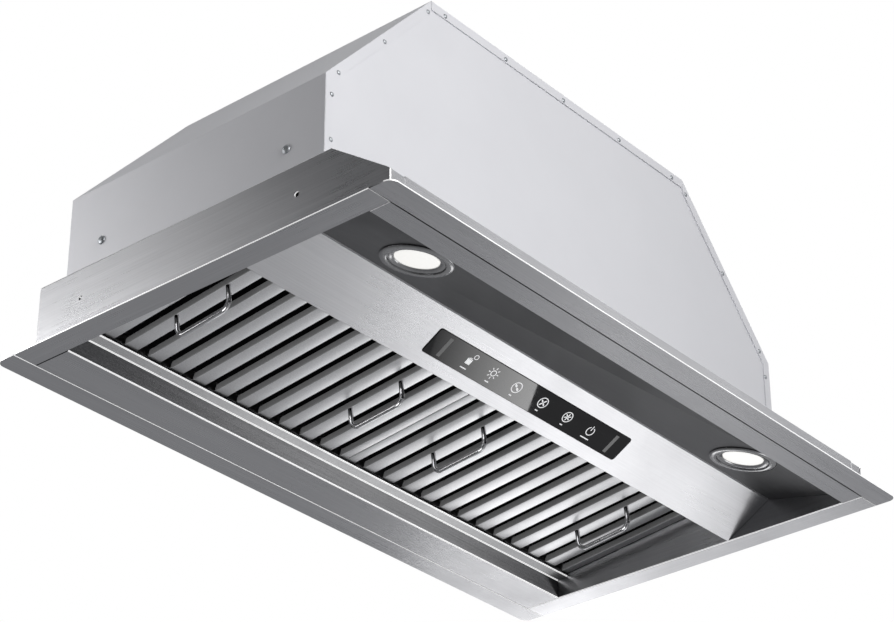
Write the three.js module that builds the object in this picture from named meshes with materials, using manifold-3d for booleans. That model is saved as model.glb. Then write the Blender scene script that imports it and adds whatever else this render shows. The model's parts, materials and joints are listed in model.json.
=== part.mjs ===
// Under-cabinet range hood insert: a folded stainless flange and skirt, a painted housing with
// sloping shoulders, an angled control fascia, two lamps, two baffle filters, a double-inlet
// blower, and a duct collar with two back-draft flaps.
// Millimetres, +Z up. The origin is the centre of the flange's underside; the user stands at -Y.
import * as THREE from "three";
import { mergeVertices } from "three/addons/utils/BufferGeometryUtils.js";
import Module from "manifold-3d";

const wasm = await Module();
wasm.setup();

// ---- Driving dimensions ----------------------------------------------------------------------
const FLANGE_W = 762; // overall width, X
const FLANGE_D = 471; // overall depth, Y
const FLANGE_CORNER = 9; // radius of the flange's outer corners
const SHEET = 1.2; // folded stainless sheet
const GAP = 0.3; // clearance between pieces that touch

const SKIRT_HALF_W = 355.9; // outer face of the side plates
const SKIRT_HALF_D = 212.3; // outer face of the front lip and rear plate
const SKIRT_H = 80.5;
const LIP_H = 33; // low front lip
const LIP_HALF_W = 338; // straight part of the lip, between the side plates' tabs
const CHEEK_Y = -145; // where the side plate's top edge starts to slope down to the lip
const SKIRT_HOLES = [-107.5, 157.5]; // mounting screw holes, Y
const SKIRT_HOLE_Z = 50;

const HOUSING_HALF_W = 341;
const HOUSING_FRONT = -123.7;
const HOUSING_BACK = 195.5;
const SHOULDER_Z = 176; // where the vertical walls turn into the sloping shoulders
const HOUSING_TOP = 333.7;
const TOP_HALF_W = 200;
const HOUSING_FOOT = SKIRT_H - SHEET; // level with the underside of the skirt's inturned top
const HOUSING_SHEET = 1;
const SEAM_FLANGE = 10; // riveted flange folded over the front and back panels
const WALL_SCREWS = [-79.3, 150.5]; // Y
const WALL_SCREW_Z = 114.8;

const BAND_FRONT_IN = -188.3; // inner edge of the front band
const LAMP_FOOT_Z = 11; // lower surface of the lamp panel at its front
const RIDGE_Y = -103.6; // ridge where lamp panel and fascia meet
const RIDGE_Z = 31;
const FASCIA_LOW_Y = -50; // low rear edge of the fascia, level with the flange
const BAND_REAR_IN = 168.8; // inner edge of the rear band
const LEDGE_Y = 155; // front edge of the ledge that carries the filters
const LEDGE_Z = 20.9;

const RAIL_H = 18; // web of the rail behind the fascia

const FILTER_TILT = THREE.MathUtils.degToRad(6.5); // filters drain towards the rear gutter
const FILTER_REAR_Y = 158;
const FILTER_REAR_Z = 24.3;
const FILTER_W = 353.6;
const FILTER_D = 202;
const FILTER_H = 14;
const FILTER_WALL = 1;
const SLOT_COUNT = 12;
const SLOT_PITCH = 29.02;
const SLOT_W = 13.6;
const SLOT_FIRST = 11.2; // from the filter's left edge to its first slot
const SLOT_Y0 = 5; // front ends of the slots, from the filter's front edge
const SLOT_Y1 = 200; // rear ends of the slots
const BAFFLE_SHEET = 0.8;
const BAFFLE_LIP = 6.5; // upturned edges of the slots
const HANDLE_FACES = [1, 9]; // the slots whose right-hand neighbour carries a handle
const HANDLE_X = 2; // from that face's left edge
const HANDLE_Y = 71; // from the filter's front edge to the handle's front leg
const HANDLE_SPAN = 64;
const HANDLE_DROP = 23;
const HANDLE_WIRE = 2.4; // wire radius

const LAMP_X = 245.4;
const LAMP_FROM_RIDGE = 43.2;
const LAMP_BEZEL_R = 33.2;
const LAMP_LENS_R = 20.1;
const LAMP_HOLE_R = 28;

const GLASS_HALF_W = 142.5;
const GLASS_TOP = 19; // from the ridge, measured along the fascia
const GLASS_H = 28.3;

const BLOWER_Y = 0;
const BLOWER_Z = 205;
const SCROLL_HALF_W = 95;
const SCROLL_R0 = 80; // radius at the tongue
const SCROLL_R1 = 114; // radius where the outlet wall begins
const NECK_FRONT = -42;
const IMPELLER_R = 70;
const IMPELLER_IN = 40; // from the middle plate to an impeller's back disc
const IMPELLER_OUT = 88;
const BLADES = 18;
const MOTOR_R = 42;
const MOTOR_HALF_L = 34;
const SHAFT_R = 4;
const INLET_R = 60;

const COLLAR_R = 75;
const COLLAR_H = 45;
const COLLAR_Y = 36;
const FLAP_R = 72.4;
const FLAP_AXIS = 12; // above the collar's base
const PIN_R = 2;

// ---- Solids ----------------------------------------------------------------------------------
// A closed three.js geometry as a manifold solid, turned the right way out.
function solid(geometry) {
  const bare = geometry.index ? geometry.toNonIndexed() : geometry.clone();
  bare.deleteAttribute("normal");
  bare.deleteAttribute("uv");
  const merged = mergeVertices(bare, 1e-4);
  const position = merged.attributes.position;
  const index = new Uint32Array(merged.index.array);
  const corner = [new THREE.Vector3(), new THREE.Vector3(), new THREE.Vector3()];
  let volume = 0;
  for (let i = 0; i < index.length; i += 3) {
    corner.forEach((v, k) => v.fromBufferAttribute(position, index[i + k]));
    volume += corner[0].dot(corner[1].clone().cross(corner[2]));
  }
  if (volume < 0) {
    for (let i = 0; i < index.length; i += 3) {
      [index[i + 1], index[i + 2]] = [index[i + 2], index[i + 1]];
    }
  }
  const vertProperties = position.array;
  return new wasm.Manifold(new wasm.Mesh({ numProp: 3, vertProperties, triVerts: index }));
}

const join = (...parts) => parts.reduce((whole, part) => whole.add(part));
const cut = (whole, ...parts) => parts.reduce((rest, part) => rest.subtract(part), whole);

function geometryOf(body) {
  const made = body.getMesh();
  const vertices = new Float32Array(made.numVert * 3);
  for (let i = 0; i < made.numVert; i++) {
    vertices.set(made.vertProperties.subarray(i * made.numProp, i * made.numProp + 3), i * 3);
  }
  const geometry = new THREE.BufferGeometry();
  geometry.setAttribute("position", new THREE.BufferAttribute(vertices, 3));
  geometry.setIndex(new THREE.BufferAttribute(made.triVerts, 1));
  geometry.computeVertexNormals();
  return geometry;
}

const FINISH = {
  brushed: [0xb9bbbe, 0.35, 1],
  dark_steel: [0x55565a, 0.45, 1],
  painted: [0xe2e3e6, 0.5, 0.3],
  galvanised: [0xa9adb2, 0.5, 0.9],
  chrome: [0xcfd1d4, 0.15, 1],
  glass: [0x0b0b0d, 0.08, 0],
  lens: [0xf7f5ee, 0.4, 0],
  black_plastic: [0x1c1c1f, 0.6, 0],
  grey_plastic: [0x6b6e73, 0.6, 0],
};

// Adds one named mesh of the given finish to a group.
function piece(group, name, body, finish) {
  const [color, roughness, metalness] = FINISH[finish];
  const material = new THREE.MeshStandardMaterial({ color, roughness, metalness });
  const mesh = new THREE.Mesh(geometryOf(body), material);
  mesh.name = name;
  group.add(mesh);
  return mesh;
}

const ALONG_X = new THREE.Matrix4().set(0, 0, 1, 0, 1, 0, 0, 0, 0, 1, 0, 0, 0, 0, 0, 1);
const ALONG_Y = new THREE.Matrix4().set(1, 0, 0, 0, 0, 0, -1, 0, 0, 1, 0, 0, 0, 0, 0, 1);

function extrude(outline, depth, holes = [], curveSegments = 12) {
  const shape = outline instanceof THREE.Shape ? outline : new THREE.Shape(outline);
  shape.holes.push(...holes);
  return new THREE.ExtrudeGeometry(shape, { depth, bevelEnabled: false, curveSegments });
}

// Outline in (y, z), filled from x0 to x1.
function slabX(outline, x0, x1, holes = [], segments = 12) {
  const geometry = extrude(outline, x1 - x0, holes, segments).applyMatrix4(ALONG_X);
  return solid(geometry.translate(x0, 0, 0));
}

// Outline in (x, z), filled from y0 to y1.
function slabY(outline, y0, y1, holes = []) {
  const geometry = extrude(outline, y1 - y0, holes).applyMatrix4(ALONG_Y);
  return solid(geometry.translate(0, y1, 0));
}

// Outline in (x, y), filled from z0 to z1.
function slabZ(outline, z0, z1, holes = [], segments = 12) {
  return solid(extrude(outline, z1 - z0, holes, segments).translate(0, 0, z0));
}

function box(x0, x1, y0, y1, z0, z1) {
  const geometry = new THREE.BoxGeometry(x1 - x0, y1 - y0, z1 - z0);
  return solid(geometry.translate((x0 + x1) / 2, (y0 + y1) / 2, (z0 + z1) / 2));
}

// A cylinder between a0 and a1 on the named axis, centred on (u, v) of the other two axes.
function rod(axis, radius, a0, a1, u, v, segments = 24) {
  const geometry = new THREE.CylinderGeometry(radius, radius, a1 - a0, segments);
  const middle = (a0 + a1) / 2;
  if (axis === "x") geometry.rotateZ(Math.PI / 2).translate(middle, u, v);
  if (axis === "y") geometry.translate(u, middle, v);
  if (axis === "z") geometry.rotateX(Math.PI / 2).translate(u, v, middle);
  return solid(geometry);
}

// A body of revolution about Z from (radius, z) pairs.
function turned(pairs, segments = 32) {
  const profile = pairs.map(([r, z]) => new THREE.Vector2(r, z));
  return solid(new THREE.LatheGeometry(profile, segments).rotateX(Math.PI / 2));
}

const points = (pairs) => pairs.map(([a, b]) => new THREE.Vector2(a, b));

// Closed outline of a folded sheet: the given line, thickened to its left with mitred folds.
function folded(pairs, thickness) {
  const line = points(pairs);
  const left = [];
  line.forEach((p, i) => {
    const before = i > 0 ? p.clone().sub(line[i - 1]).normalize() : null;
    const after = i < line.length - 1 ? line[i + 1].clone().sub(p).normalize() : null;
    const a = before ?? after;
    const b = after ?? before;
    const normal = new THREE.Vector2(-a.y - b.y, a.x + b.x).normalize();
    const reach = thickness / normal.dot(new THREE.Vector2(-a.y, a.x));
    left.push(p.clone().addScaledVector(normal, reach));
  });
  return [...line, ...left.reverse()];
}

function circle(x, y, radius) {
  return new THREE.Path().absarc(x, y, radius, 0, Math.PI * 2, true);
}

function roundedBox(x0, x1, y0, y1, radii) {
  const [r00, r10, r11, r01] = radii;
  const shape = new THREE.Shape();
  shape.moveTo(x0 + r00, y0).lineTo(x1 - r10, y0);
  if (r10) shape.absarc(x1 - r10, y0 + r10, r10, -Math.PI / 2, 0, false);
  shape.lineTo(x1, y1 - r11);
  if (r11) shape.absarc(x1 - r11, y1 - r11, r11, 0, Math.PI / 2, false);
  shape.lineTo(x0 + r01, y1);
  if (r01) shape.absarc(x0 + r01, y1 - r01, r01, Math.PI / 2, Math.PI, false);
  shape.lineTo(x0, y0 + r00);
  if (r00) shape.absarc(x0 + r00, y0 + r00, r00, Math.PI, Math.PI * 1.5, false);
  return shape;
}

const hood = new THREE.Group();

// ---- Flange and skirt ------------------------------------------------------------------------
const STRIP_IN = SKIRT_HALF_D - SHEET; // inner edge of the front and rear strips
const INNER_HALF_W = SKIRT_HALF_W - SHEET; // inner face of the side plates
const FIT_HALF_W = INNER_HALF_W - GAP; // sheets that span between the side plates

function frontStrip() {
  const half = FLANGE_W / 2;
  const radii = [FLANGE_CORNER, FLANGE_CORNER, 0, 0];
  const strip = slabZ(roundedBox(-half, half, -FLANGE_D / 2, -STRIP_IN, radii), 0, SHEET);
  const lip = box(-LIP_HALF_W, LIP_HALF_W, -SKIRT_HALF_D, -STRIP_IN, 0, LIP_H);
  return join(strip, lip);
}

function rearStrip() {
  const half = FLANGE_W / 2;
  const radii = [0, 0, FLANGE_CORNER, FLANGE_CORNER];
  const strip = slabZ(roundedBox(-half, half, STRIP_IN, FLANGE_D / 2, radii), 0, SHEET);
  const plate = box(-FIT_HALF_W, FIT_HALF_W, STRIP_IN, SKIRT_HALF_D, 0, SKIRT_H);
  const shelf = HOUSING_HALF_W - GAP;
  const top = box(-shelf, shelf, HOUSING_BACK + GAP, STRIP_IN + 0.1, SKIRT_H - SHEET, SKIRT_H);
  return join(strip, plate, top);
}

// One side plate with its flange strip, its inturned top edge and its front tab; side is -1 or 1.
function sidePlate(side) {
  const lift = SHEET + GAP;
  const seam = STRIP_IN - GAP;
  const outline = points([
    [-SKIRT_HALF_D, lift],
    [-seam, lift],
    [-seam, 0],
    [seam, 0],
    [seam, lift],
    [SKIRT_HALF_D, lift],
    [SKIRT_HALF_D, SKIRT_H],
    [CHEEK_Y, SKIRT_H],
    [-SKIRT_HALF_D + 5, LIP_H + 3],
    [-SKIRT_HALF_D, LIP_H - 1],
  ]);
  const holes = SKIRT_HOLES.map((y) => circle(y, SKIRT_HOLE_Z, 2.6));
  const outer = side * SKIRT_HALF_W;
  const inner = side * INNER_HALF_W;
  const plate = slabX(outline, Math.min(outer, inner), Math.max(outer, inner), holes);
  const edge = side * (FLANGE_W / 2);
  const strip = box(Math.min(edge, inner), Math.max(edge, inner), -seam, seam, 0, SHEET);
  const wall = side * (HOUSING_HALF_W + GAP);
  const topX = [Math.min(outer, wall), Math.max(outer, wall)];
  const top = box(...topX, CHEEK_Y, seam, SKIRT_H - SHEET, SKIRT_H);
  const tabEnd = side * (LIP_HALF_W + GAP);
  const tabX = [Math.min(outer, tabEnd), Math.max(outer, tabEnd)];
  const tab = box(...tabX, -SKIRT_HALF_D, -STRIP_IN, lift, LIP_H - 2);
  return join(plate, strip, top, tab);
}

piece(hood, "flange_front", frontStrip(), "brushed");
piece(hood, "skirt_rear", rearStrip(), "brushed");
piece(hood, "skirt_left", sidePlate(-1), "brushed");
piece(hood, "skirt_right", sidePlate(1), "brushed");

// Shelf over the lamps, between the front lip and the housing.
function frontShelf() {
  const y0 = -STRIP_IN + GAP;
  const y1 = HOUSING_FRONT - GAP;
  const shelf = box(-FIT_HALF_W, FIT_HALF_W, y0, y1, LIP_H - SHEET, LIP_H);
  const upstand = box(-LIP_HALF_W, LIP_HALF_W, y1 - SHEET, y1, LIP_H - SHEET, LIP_H + 12);
  const holes = [-LAMP_X, LAMP_X].map((x) => rod("z", LAMP_HOLE_R + 4, 20, 40, x, -150));
  return cut(join(shelf, upstand), ...holes);
}
piece(hood, "front_shelf", frontShelf(), "galvanised");

// ---- Lamp panel, fascia, gutter and filter rail ----------------------------------------------
const LAMP_SLOPE = Math.atan2(RIDGE_Z - LAMP_FOOT_Z, RIDGE_Y - BAND_FRONT_IN);
const FASCIA_SLOPE = Math.atan2(RIDGE_Z, FASCIA_LOW_Y - RIDGE_Y);

// Frame of the lamp panel's lower surface: origin at the ridge, +Y up the slope to the rear.
const lampPanelFrame = new THREE.Group();
lampPanelFrame.position.set(0, RIDGE_Y, RIDGE_Z);
lampPanelFrame.rotation.x = LAMP_SLOPE;
lampPanelFrame.updateMatrix();
hood.add(lampPanelFrame);

// Frame of the fascia's lower surface: origin at the ridge, +Y down the slope to the rear.
const fasciaFrame = new THREE.Group();
fasciaFrame.position.set(0, RIDGE_Y, RIDGE_Z);
fasciaFrame.rotation.x = -FASCIA_SLOPE;
fasciaFrame.updateMatrix();
hood.add(fasciaFrame);

function lampPanel() {
  const outline = folded(
    [
      [-STRIP_IN + GAP, 0],
      [BAND_FRONT_IN, 0],
      [BAND_FRONT_IN, LAMP_FOOT_Z],
      [RIDGE_Y - GAP, RIDGE_Z],
      [RIDGE_Y - GAP, RIDGE_Z + 11],
    ],
    SHEET,
  );
  const panel = slabX(outline, -FIT_HALF_W, FIT_HALF_W);
  const holes = [-LAMP_X, LAMP_X].map((x) => {
    const hole = new THREE.CylinderGeometry(LAMP_HOLE_R, LAMP_HOLE_R, 8, 40).rotateX(Math.PI / 2);
    return solid(hole.translate(x, -LAMP_FROM_RIDGE, 0).applyMatrix4(lampPanelFrame.matrix));
  });
  return cut(panel, ...holes);
}
piece(hood, "lamp_panel", lampPanel(), "dark_steel");

function fascia() {
  const outline = folded(
    [
      [RIDGE_Y + GAP, RIDGE_Z + 11],
      [RIDGE_Y + GAP, RIDGE_Z],
      [FASCIA_LOW_Y, 0],
      [FASCIA_LOW_Y, 12],
    ],
    SHEET,
  );
  const sheet = slabX(outline, -FIT_HALF_W, FIT_HALF_W);
  const half = GLASS_HALF_W + GAP;
  const radii = [3, 3, 3, 3];
  const window = roundedBox(-half, half, GLASS_TOP - GAP, GLASS_TOP + GLASS_H + GAP, radii);
  const opening = extrude(window, 8, [], 6).translate(0, 0, -4);
  return cut(sheet, solid(opening.applyMatrix4(fasciaFrame.matrix)));
}
piece(hood, "control_fascia", fascia(), "brushed");

function touchGlass() {
  const radii = [2.7, 2.7, 2.7, 2.7];
  const y1 = GLASS_TOP + GLASS_H;
  return slabZ(roundedBox(-GLASS_HALF_W, GLASS_HALF_W, GLASS_TOP, y1, radii), -0.7, SHEET, [], 6);
}
piece(fasciaFrame, "touch_glass", touchGlass(), "glass");

// Plastic back box of the touch panel, which holds its circuit board, screwed behind the fascia.
function touchBox() {
  const reach = GLASS_HALF_W + 10;
  const z0 = SHEET + GAP;
  const shell = box(-reach, reach, GLASS_TOP - 5, GLASS_TOP + GLASS_H + 3, z0, z0 + 12);
  const socket = box(60, 90, GLASS_TOP + 4, GLASS_TOP + 16, z0 + 11, z0 + 18);
  return join(shell, socket);
}
piece(fasciaFrame, "touch_board_box", touchBox(), "black_plastic");

function rearGutter() {
  const outline = folded(
    [
      [LEDGE_Y, LEDGE_Z + 2.6],
      [LEDGE_Y, LEDGE_Z],
      [BAND_REAR_IN, LEDGE_Z],
      [BAND_REAR_IN, 0],
      [STRIP_IN - GAP, 0],
    ],
    SHEET,
  );
  return slabX(outline, -FIT_HALF_W, FIT_HALF_W);
}
piece(hood, "rear_gutter", rearGutter(), "brushed");

const FILTER_FRONT_Y = FILTER_REAR_Y - FILTER_D * Math.cos(FILTER_TILT);
const FILTER_FRONT_Z = FILTER_REAR_Z + FILTER_D * Math.sin(FILTER_TILT);

// Rail behind the fascia on which the filters' front edges rest.
function filterRail() {
  const lipY = FILTER_FRONT_Y + 7;
  const lipZ = FILTER_FRONT_Z - 7 * Math.tan(FILTER_TILT) - GAP - SHEET;
  const webY = FILTER_FRONT_Y - 4;
  const outline = folded(
    [
      [lipY, lipZ],
      [webY, lipZ],
      [webY, lipZ + RAIL_H],
      [webY - 12, lipZ + RAIL_H],
    ].reverse(),
    SHEET,
  );
  return slabX(outline, -FIT_HALF_W, FIT_HALF_W);
}
piece(hood, "filter_rail", filterRail(), "galvanised");

// ---- Filters ---------------------------------------------------------------------------------
// A filter is drawn flat: x from its left edge, y from its front edge, z up from its lower face.
function slotStart(i) {
  return SLOT_FIRST + i * SLOT_PITCH;
}

// Lower baffle layer with its frame: slotted plate, upturned slot edges and side walls.
function filterTray() {
  const slots = Array.from({ length: SLOT_COUNT }, (_, i) => slotStart(i));
  const openings = slots.map((x) =>
    box(x, x + SLOT_W, SLOT_Y0, SLOT_Y1, -1, BAFFLE_SHEET + 1),
  );
  const plate = cut(box(0, FILTER_W, 0, FILTER_D, 0, BAFFLE_SHEET), ...openings);
  const insideX = [FILTER_WALL, FILTER_W - FILTER_WALL];
  const insideY = [FILTER_WALL, FILTER_D - FILTER_WALL];
  const walls = cut(
    box(0, FILTER_W, 0, FILTER_D, 0, FILTER_H),
    box(...insideX, ...insideY, -1, FILTER_H + 1),
  );
  const lips = slots.flatMap((x) => [
    box(x - BAFFLE_SHEET, x, SLOT_Y0, SLOT_Y1, 0, BAFFLE_LIP),
    box(x + SLOT_W, x + SLOT_W + BAFFLE_SHEET, SLOT_Y0, SLOT_Y1, 0, BAFFLE_LIP),
  ]);
  return join(plate, walls, ...lips);
}

// Upper baffle layer: channels that cover the lower slots, held together by two end strips.
function filterBaffle() {
  const z0 = BAFFLE_LIP + 1;
  const z1 = FILTER_H - 0.6;
  const inset = FILTER_WALL + GAP;
  const ends = [
    box(inset, FILTER_W - inset, inset, 9, z1 - BAFFLE_SHEET, z1),
    box(inset, FILTER_W - inset, FILTER_D - 9, FILTER_D - inset, z1 - BAFFLE_SHEET, z1),
  ];
  const channels = Array.from({ length: SLOT_COUNT }, (_, i) => {
    const x0 = slotStart(i) - 3;
    const x1 = slotStart(i) + SLOT_W + 3;
    const line = [
      [x1, z0],
      [x1, z1],
      [x0, z1],
      [x0, z0],
    ];
    return slabY(folded(line, BAFFLE_SHEET), 8, FILTER_D - 8);
  });
  return join(...ends, ...channels);
}

// U-shaped wire handle hanging below the plate, its feet on the plate's lower face.
function filterHandle(x) {
  const y0 = HANDLE_Y;
  const y1 = y0 + HANDLE_SPAN;
  const bend = 9;
  const path = new THREE.CurvePath();
  const at = (y, z) => new THREE.Vector3(x, y, z);
  const low = -HANDLE_DROP;
  const top = -GAP;
  path.add(new THREE.LineCurve3(at(y0, top), at(y0, low + bend)));
  path.add(new THREE.QuadraticBezierCurve3(at(y0, low + bend), at(y0, low), at(y0 + bend, low)));
  path.add(new THREE.LineCurve3(at(y0 + bend, low), at(y1 - bend, low)));
  path.add(new THREE.QuadraticBezierCurve3(at(y1 - bend, low), at(y1, low), at(y1, low + bend)));
  path.add(new THREE.LineCurve3(at(y1, low + bend), at(y1, top)));
  const section = new THREE.Shape().absarc(0, 0, HANDLE_WIRE, 0, Math.PI * 2, false);
  return solid(
    new THREE.ExtrudeGeometry(section, { steps: 24, extrudePath: path, curveSegments: 4 }),
  );
}

for (const [side, x0] of [
  ["left", -FILTER_W - GAP],
  ["right", GAP],
]) {
  const filter = new THREE.Group();
  filter.position.set(x0, FILTER_FRONT_Y, FILTER_FRONT_Z);
  filter.rotation.x = -FILTER_TILT;
  hood.add(filter);
  piece(filter, `filter_${side}_tray`, filterTray(), "brushed");
  piece(filter, `filter_${side}_baffle`, filterBaffle(), "brushed");
  HANDLE_FACES.forEach((face, i) => {
    const x = slotStart(face) + SLOT_W + HANDLE_X;
    piece(filter, `filter_${side}_handle_${i + 1}`, filterHandle(x), "chrome");
  });
}

// ---- Lamps -----------------------------------------------------------------------------------
function lampBezel() {
  const lens = LAMP_LENS_R + GAP;
  const tube = LAMP_HOLE_R - 1;
  return turned([
    [lens, 2.6],
    [lens, 0.6],
    [25.2, -1.4],
    [26.4, -2.2],
    [30.4, -2.2],
    [LAMP_BEZEL_R, -1.2],
    [LAMP_BEZEL_R, -GAP],
    [tube, -GAP],
    [tube, 2.6],
    [lens, 2.6],
  ]);
}

function lampLens() {
  return turned([
    [0, 1],
    [LAMP_LENS_R, 1],
    [LAMP_LENS_R, 2.6],
    [0, 2.6],
  ]);
}

// Metal body of the lamp above the panel: a mounting disc and a stack of cooling fins.
function lampBody() {
  const root = 13;
  const rim = 19;
  const disc = LAMP_HOLE_R - 4;
  const profile = [
    [0, 3],
    [disc, 3],
    [disc, 5],
    [root, 5],
  ];
  for (let z = 9; z <= 17; z += 4) {
    profile.push([root, z], [rim, z], [rim, z + 1.5], [root, z + 1.5]);
  }
  profile.push([root, 22], [0, 22]);
  return turned(profile, 20);
}

for (const [side, x] of [
  ["left", -LAMP_X],
  ["right", LAMP_X],
]) {
  const lamp = new THREE.Group();
  lamp.position.set(x, -LAMP_FROM_RIDGE, 0);
  lampPanelFrame.add(lamp);
  piece(lamp, `lamp_${side}_bezel`, lampBezel(), "chrome");
  piece(lamp, `lamp_${side}_lens`, lampLens(), "lens");
  piece(lamp, `lamp_${side}_body`, lampBody(), "galvanised");
}

// ---- Housing ---------------------------------------------------------------------------------
const WALL_LINE = [
  [HOUSING_HALF_W, HOUSING_FOOT],
  [HOUSING_HALF_W, SHOULDER_Z],
  [TOP_HALF_W, HOUSING_TOP],
];
const SEAM_X = TOP_HALF_W + GAP / 2; // butt joint between a shoulder and the top panel

const mirrored = (pairs, side) => pairs.map(([x, z]) => [side * x, z]);

// Outline of a sheet that follows the wall line inwards, from the right side or the left.
function wallOutline(side, width) {
  const line = folded(WALL_LINE, width).map((p) => [p.x, p.y]);
  return points(mirrored(line, side));
}

// Vertical wall and sloping shoulder in one folded sheet, with a seam flange at front and back.
function housingSide(side) {
  const wall = slabY(wallOutline(side, HOUSING_SHEET), HOUSING_FRONT, HOUSING_BACK);
  const flangeOutline = wallOutline(side, SEAM_FLANGE);
  const front = slabY(flangeOutline, HOUSING_FRONT, HOUSING_FRONT + HOUSING_SHEET);
  const back = slabY(flangeOutline, HOUSING_BACK - HOUSING_SHEET, HOUSING_BACK);
  const far = 2 * HOUSING_HALF_W;
  const x = [side * SEAM_X, side * far].sort((a, b) => a - b);
  const keep = box(...x, HOUSING_FRONT - 1, HOUSING_BACK + 1, 0, HOUSING_TOP + 1);
  const screwX = [side * (HOUSING_HALF_W - 5), side * (HOUSING_HALF_W + 5)].sort((a, b) => a - b);
  const holes = WALL_SCREWS.map((y) => rod("x", 2.3, ...screwX, y, WALL_SCREW_Z, 16));
  return cut(join(wall, front, back).intersect(keep), ...holes);
}

function housingTop() {
  const half = SEAM_X - GAP;
  const plate = roundedBox(-half, half, HOUSING_FRONT, HOUSING_BACK, [0, 0, 0, 0]);
  const holes = [circle(0, COLLAR_Y, COLLAR_R), circle(150, 140, 10)];
  const z0 = HOUSING_TOP - HOUSING_SHEET;
  const sheet = slabZ(plate, z0, HOUSING_TOP, holes, 20);
  const drop = HOUSING_TOP - SEAM_FLANGE;
  const outline = points([
    [-half, HOUSING_TOP],
    [-half, drop],
    [half, drop],
    [half, HOUSING_TOP],
  ]);
  const front = slabY(outline, HOUSING_FRONT, HOUSING_FRONT + HOUSING_SHEET);
  const back = slabY(outline, HOUSING_BACK - HOUSING_SHEET, HOUSING_BACK);
  return join(sheet, front, back);
}

// Six-sided end panel just inside the seam flanges, from the given foot height.
function endPanel(foot, y0, y1) {
  const inset = HOUSING_SHEET + GAP;
  const slope = Math.atan2(HOUSING_TOP - SHOULDER_Z, HOUSING_HALF_W - TOP_HALF_W);
  const x = HOUSING_HALF_W - inset;
  const z = HOUSING_TOP - inset;
  const shoulder = SHOULDER_Z - inset * Math.tan((Math.PI / 2 - slope) / 2);
  const crown = TOP_HALF_W - inset * Math.tan(slope / 2);
  const right = [
    [x, foot],
    [x, shoulder],
    [crown, z],
  ];
  const left = mirrored(right, -1).reverse();
  return slabY(points([...right, ...left]), y0, y1);
}

const PANEL_BACK = HOUSING_SHEET + GAP; // end panels sit behind the seam flanges
piece(hood, "housing_left", housingSide(-1), "painted");
piece(hood, "housing_right", housingSide(1), "painted");
piece(hood, "housing_top", housingTop(), "painted");
const frontY = HOUSING_FRONT + PANEL_BACK;
const backY = HOUSING_BACK - PANEL_BACK;
piece(hood, "housing_front", endPanel(LIP_H + GAP, frontY, frontY + HOUSING_SHEET), "painted");
piece(hood, "housing_back", endPanel(HOUSING_FOOT, backY - HOUSING_SHEET, backY), "painted");

// Pan-head screw in a housing wall; its head is outside.
function wallScrew() {
  return turned(
    [
      [0, 2.2],
      [2.6, 2],
      [4.2, 1.1],
      [4.5, 0],
      [1.9, 0],
      [1.9, -7],
      [0, -7],
    ],
    10,
  );
}

for (const [side, sign] of [
  ["left", -1],
  ["right", 1],
]) {
  WALL_SCREWS.forEach((y, i) => {
    const name = `wall_screw_${side}_${i === 0 ? "front" : "rear"}`;
    const screw = piece(hood, name, wallScrew(), "galvanised");
    screw.position.set(sign * (HOUSING_HALF_W + GAP), y, WALL_SCREW_Z);
    screw.rotation.y = (sign * Math.PI) / 2;
  });
}

// ---- Blower ----------------------------------------------------------------------------------
const blower = new THREE.Group();
blower.position.set(0, BLOWER_Y, BLOWER_Z);
hood.add(blower);
const NECK_TOP = HOUSING_TOP - HOUSING_SHEET - GAP - BLOWER_Z;

// The scroll's inner line in the blower's own (y, z): outlet front wall, spiral, outlet rear wall.
function scrollLine() {
  const start = Math.acos(NECK_FRONT / SCROLL_R0);
  const line = [[NECK_FRONT, NECK_TOP]];
  const steps = 26;
  for (let i = 0; i <= steps; i++) {
    const angle = start + ((2 * Math.PI - start) * i) / steps;
    const r = SCROLL_R0 + ((SCROLL_R1 - SCROLL_R0) * i) / steps;
    line.push([r * Math.cos(angle), r * Math.sin(angle)]);
  }
  line.push([SCROLL_R1, NECK_TOP]);
  return line;
}

function scrollWall() {
  const outline = folded(scrollLine().reverse(), 1.2);
  return slabX(outline, -SCROLL_HALF_W, SCROLL_HALF_W);
}

// Flat plate in the scroll's outline moved outwards by the given margin, bored about the shaft.
function scrollPlate(x0, x1, hole, margin) {
  const line = margin < 0 ? scrollLine() : scrollLine().reverse();
  const outline = folded(line, Math.abs(margin)).slice(line.length);
  return cut(slabX(outline, x0, x1), rod("x", hole, x0 - 1, x1 + 1, 0, 0, 28));
}

// Side plate of the scroll with its bell-mouthed inlet.
function inletPlate(side) {
  const x0 = SCROLL_HALF_W + GAP;
  const plate = scrollPlate(x0, x0 + 1.5, INLET_R + 1, SHEET);
  const mouth = turned(
    [
      [INLET_R, -5],
      [INLET_R + 1.6, -5],
      [INLET_R + 1.6, 1],
      [INLET_R + 8, 5],
      [INLET_R + 7, 6.4],
      [INLET_R, 1.6],
      [INLET_R, -5],
    ],
    28,
  );
  const bell = solid(geometryOf(mouth).rotateY(Math.PI / 2).translate(x0, 0, 0));
  const whole = geometryOf(join(plate, bell));
  return solid(side < 0 ? whole.scale(-1, 1, 1) : whole);
}

piece(blower, "blower_scroll", scrollWall(), "galvanised");
piece(blower, "blower_inlet_left", inletPlate(-1), "galvanised");
piece(blower, "blower_inlet_right", inletPlate(1), "galvanised");
piece(blower, "motor_plate", scrollPlate(-1, 1, MOTOR_R + GAP, -GAP), "galvanised");

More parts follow.
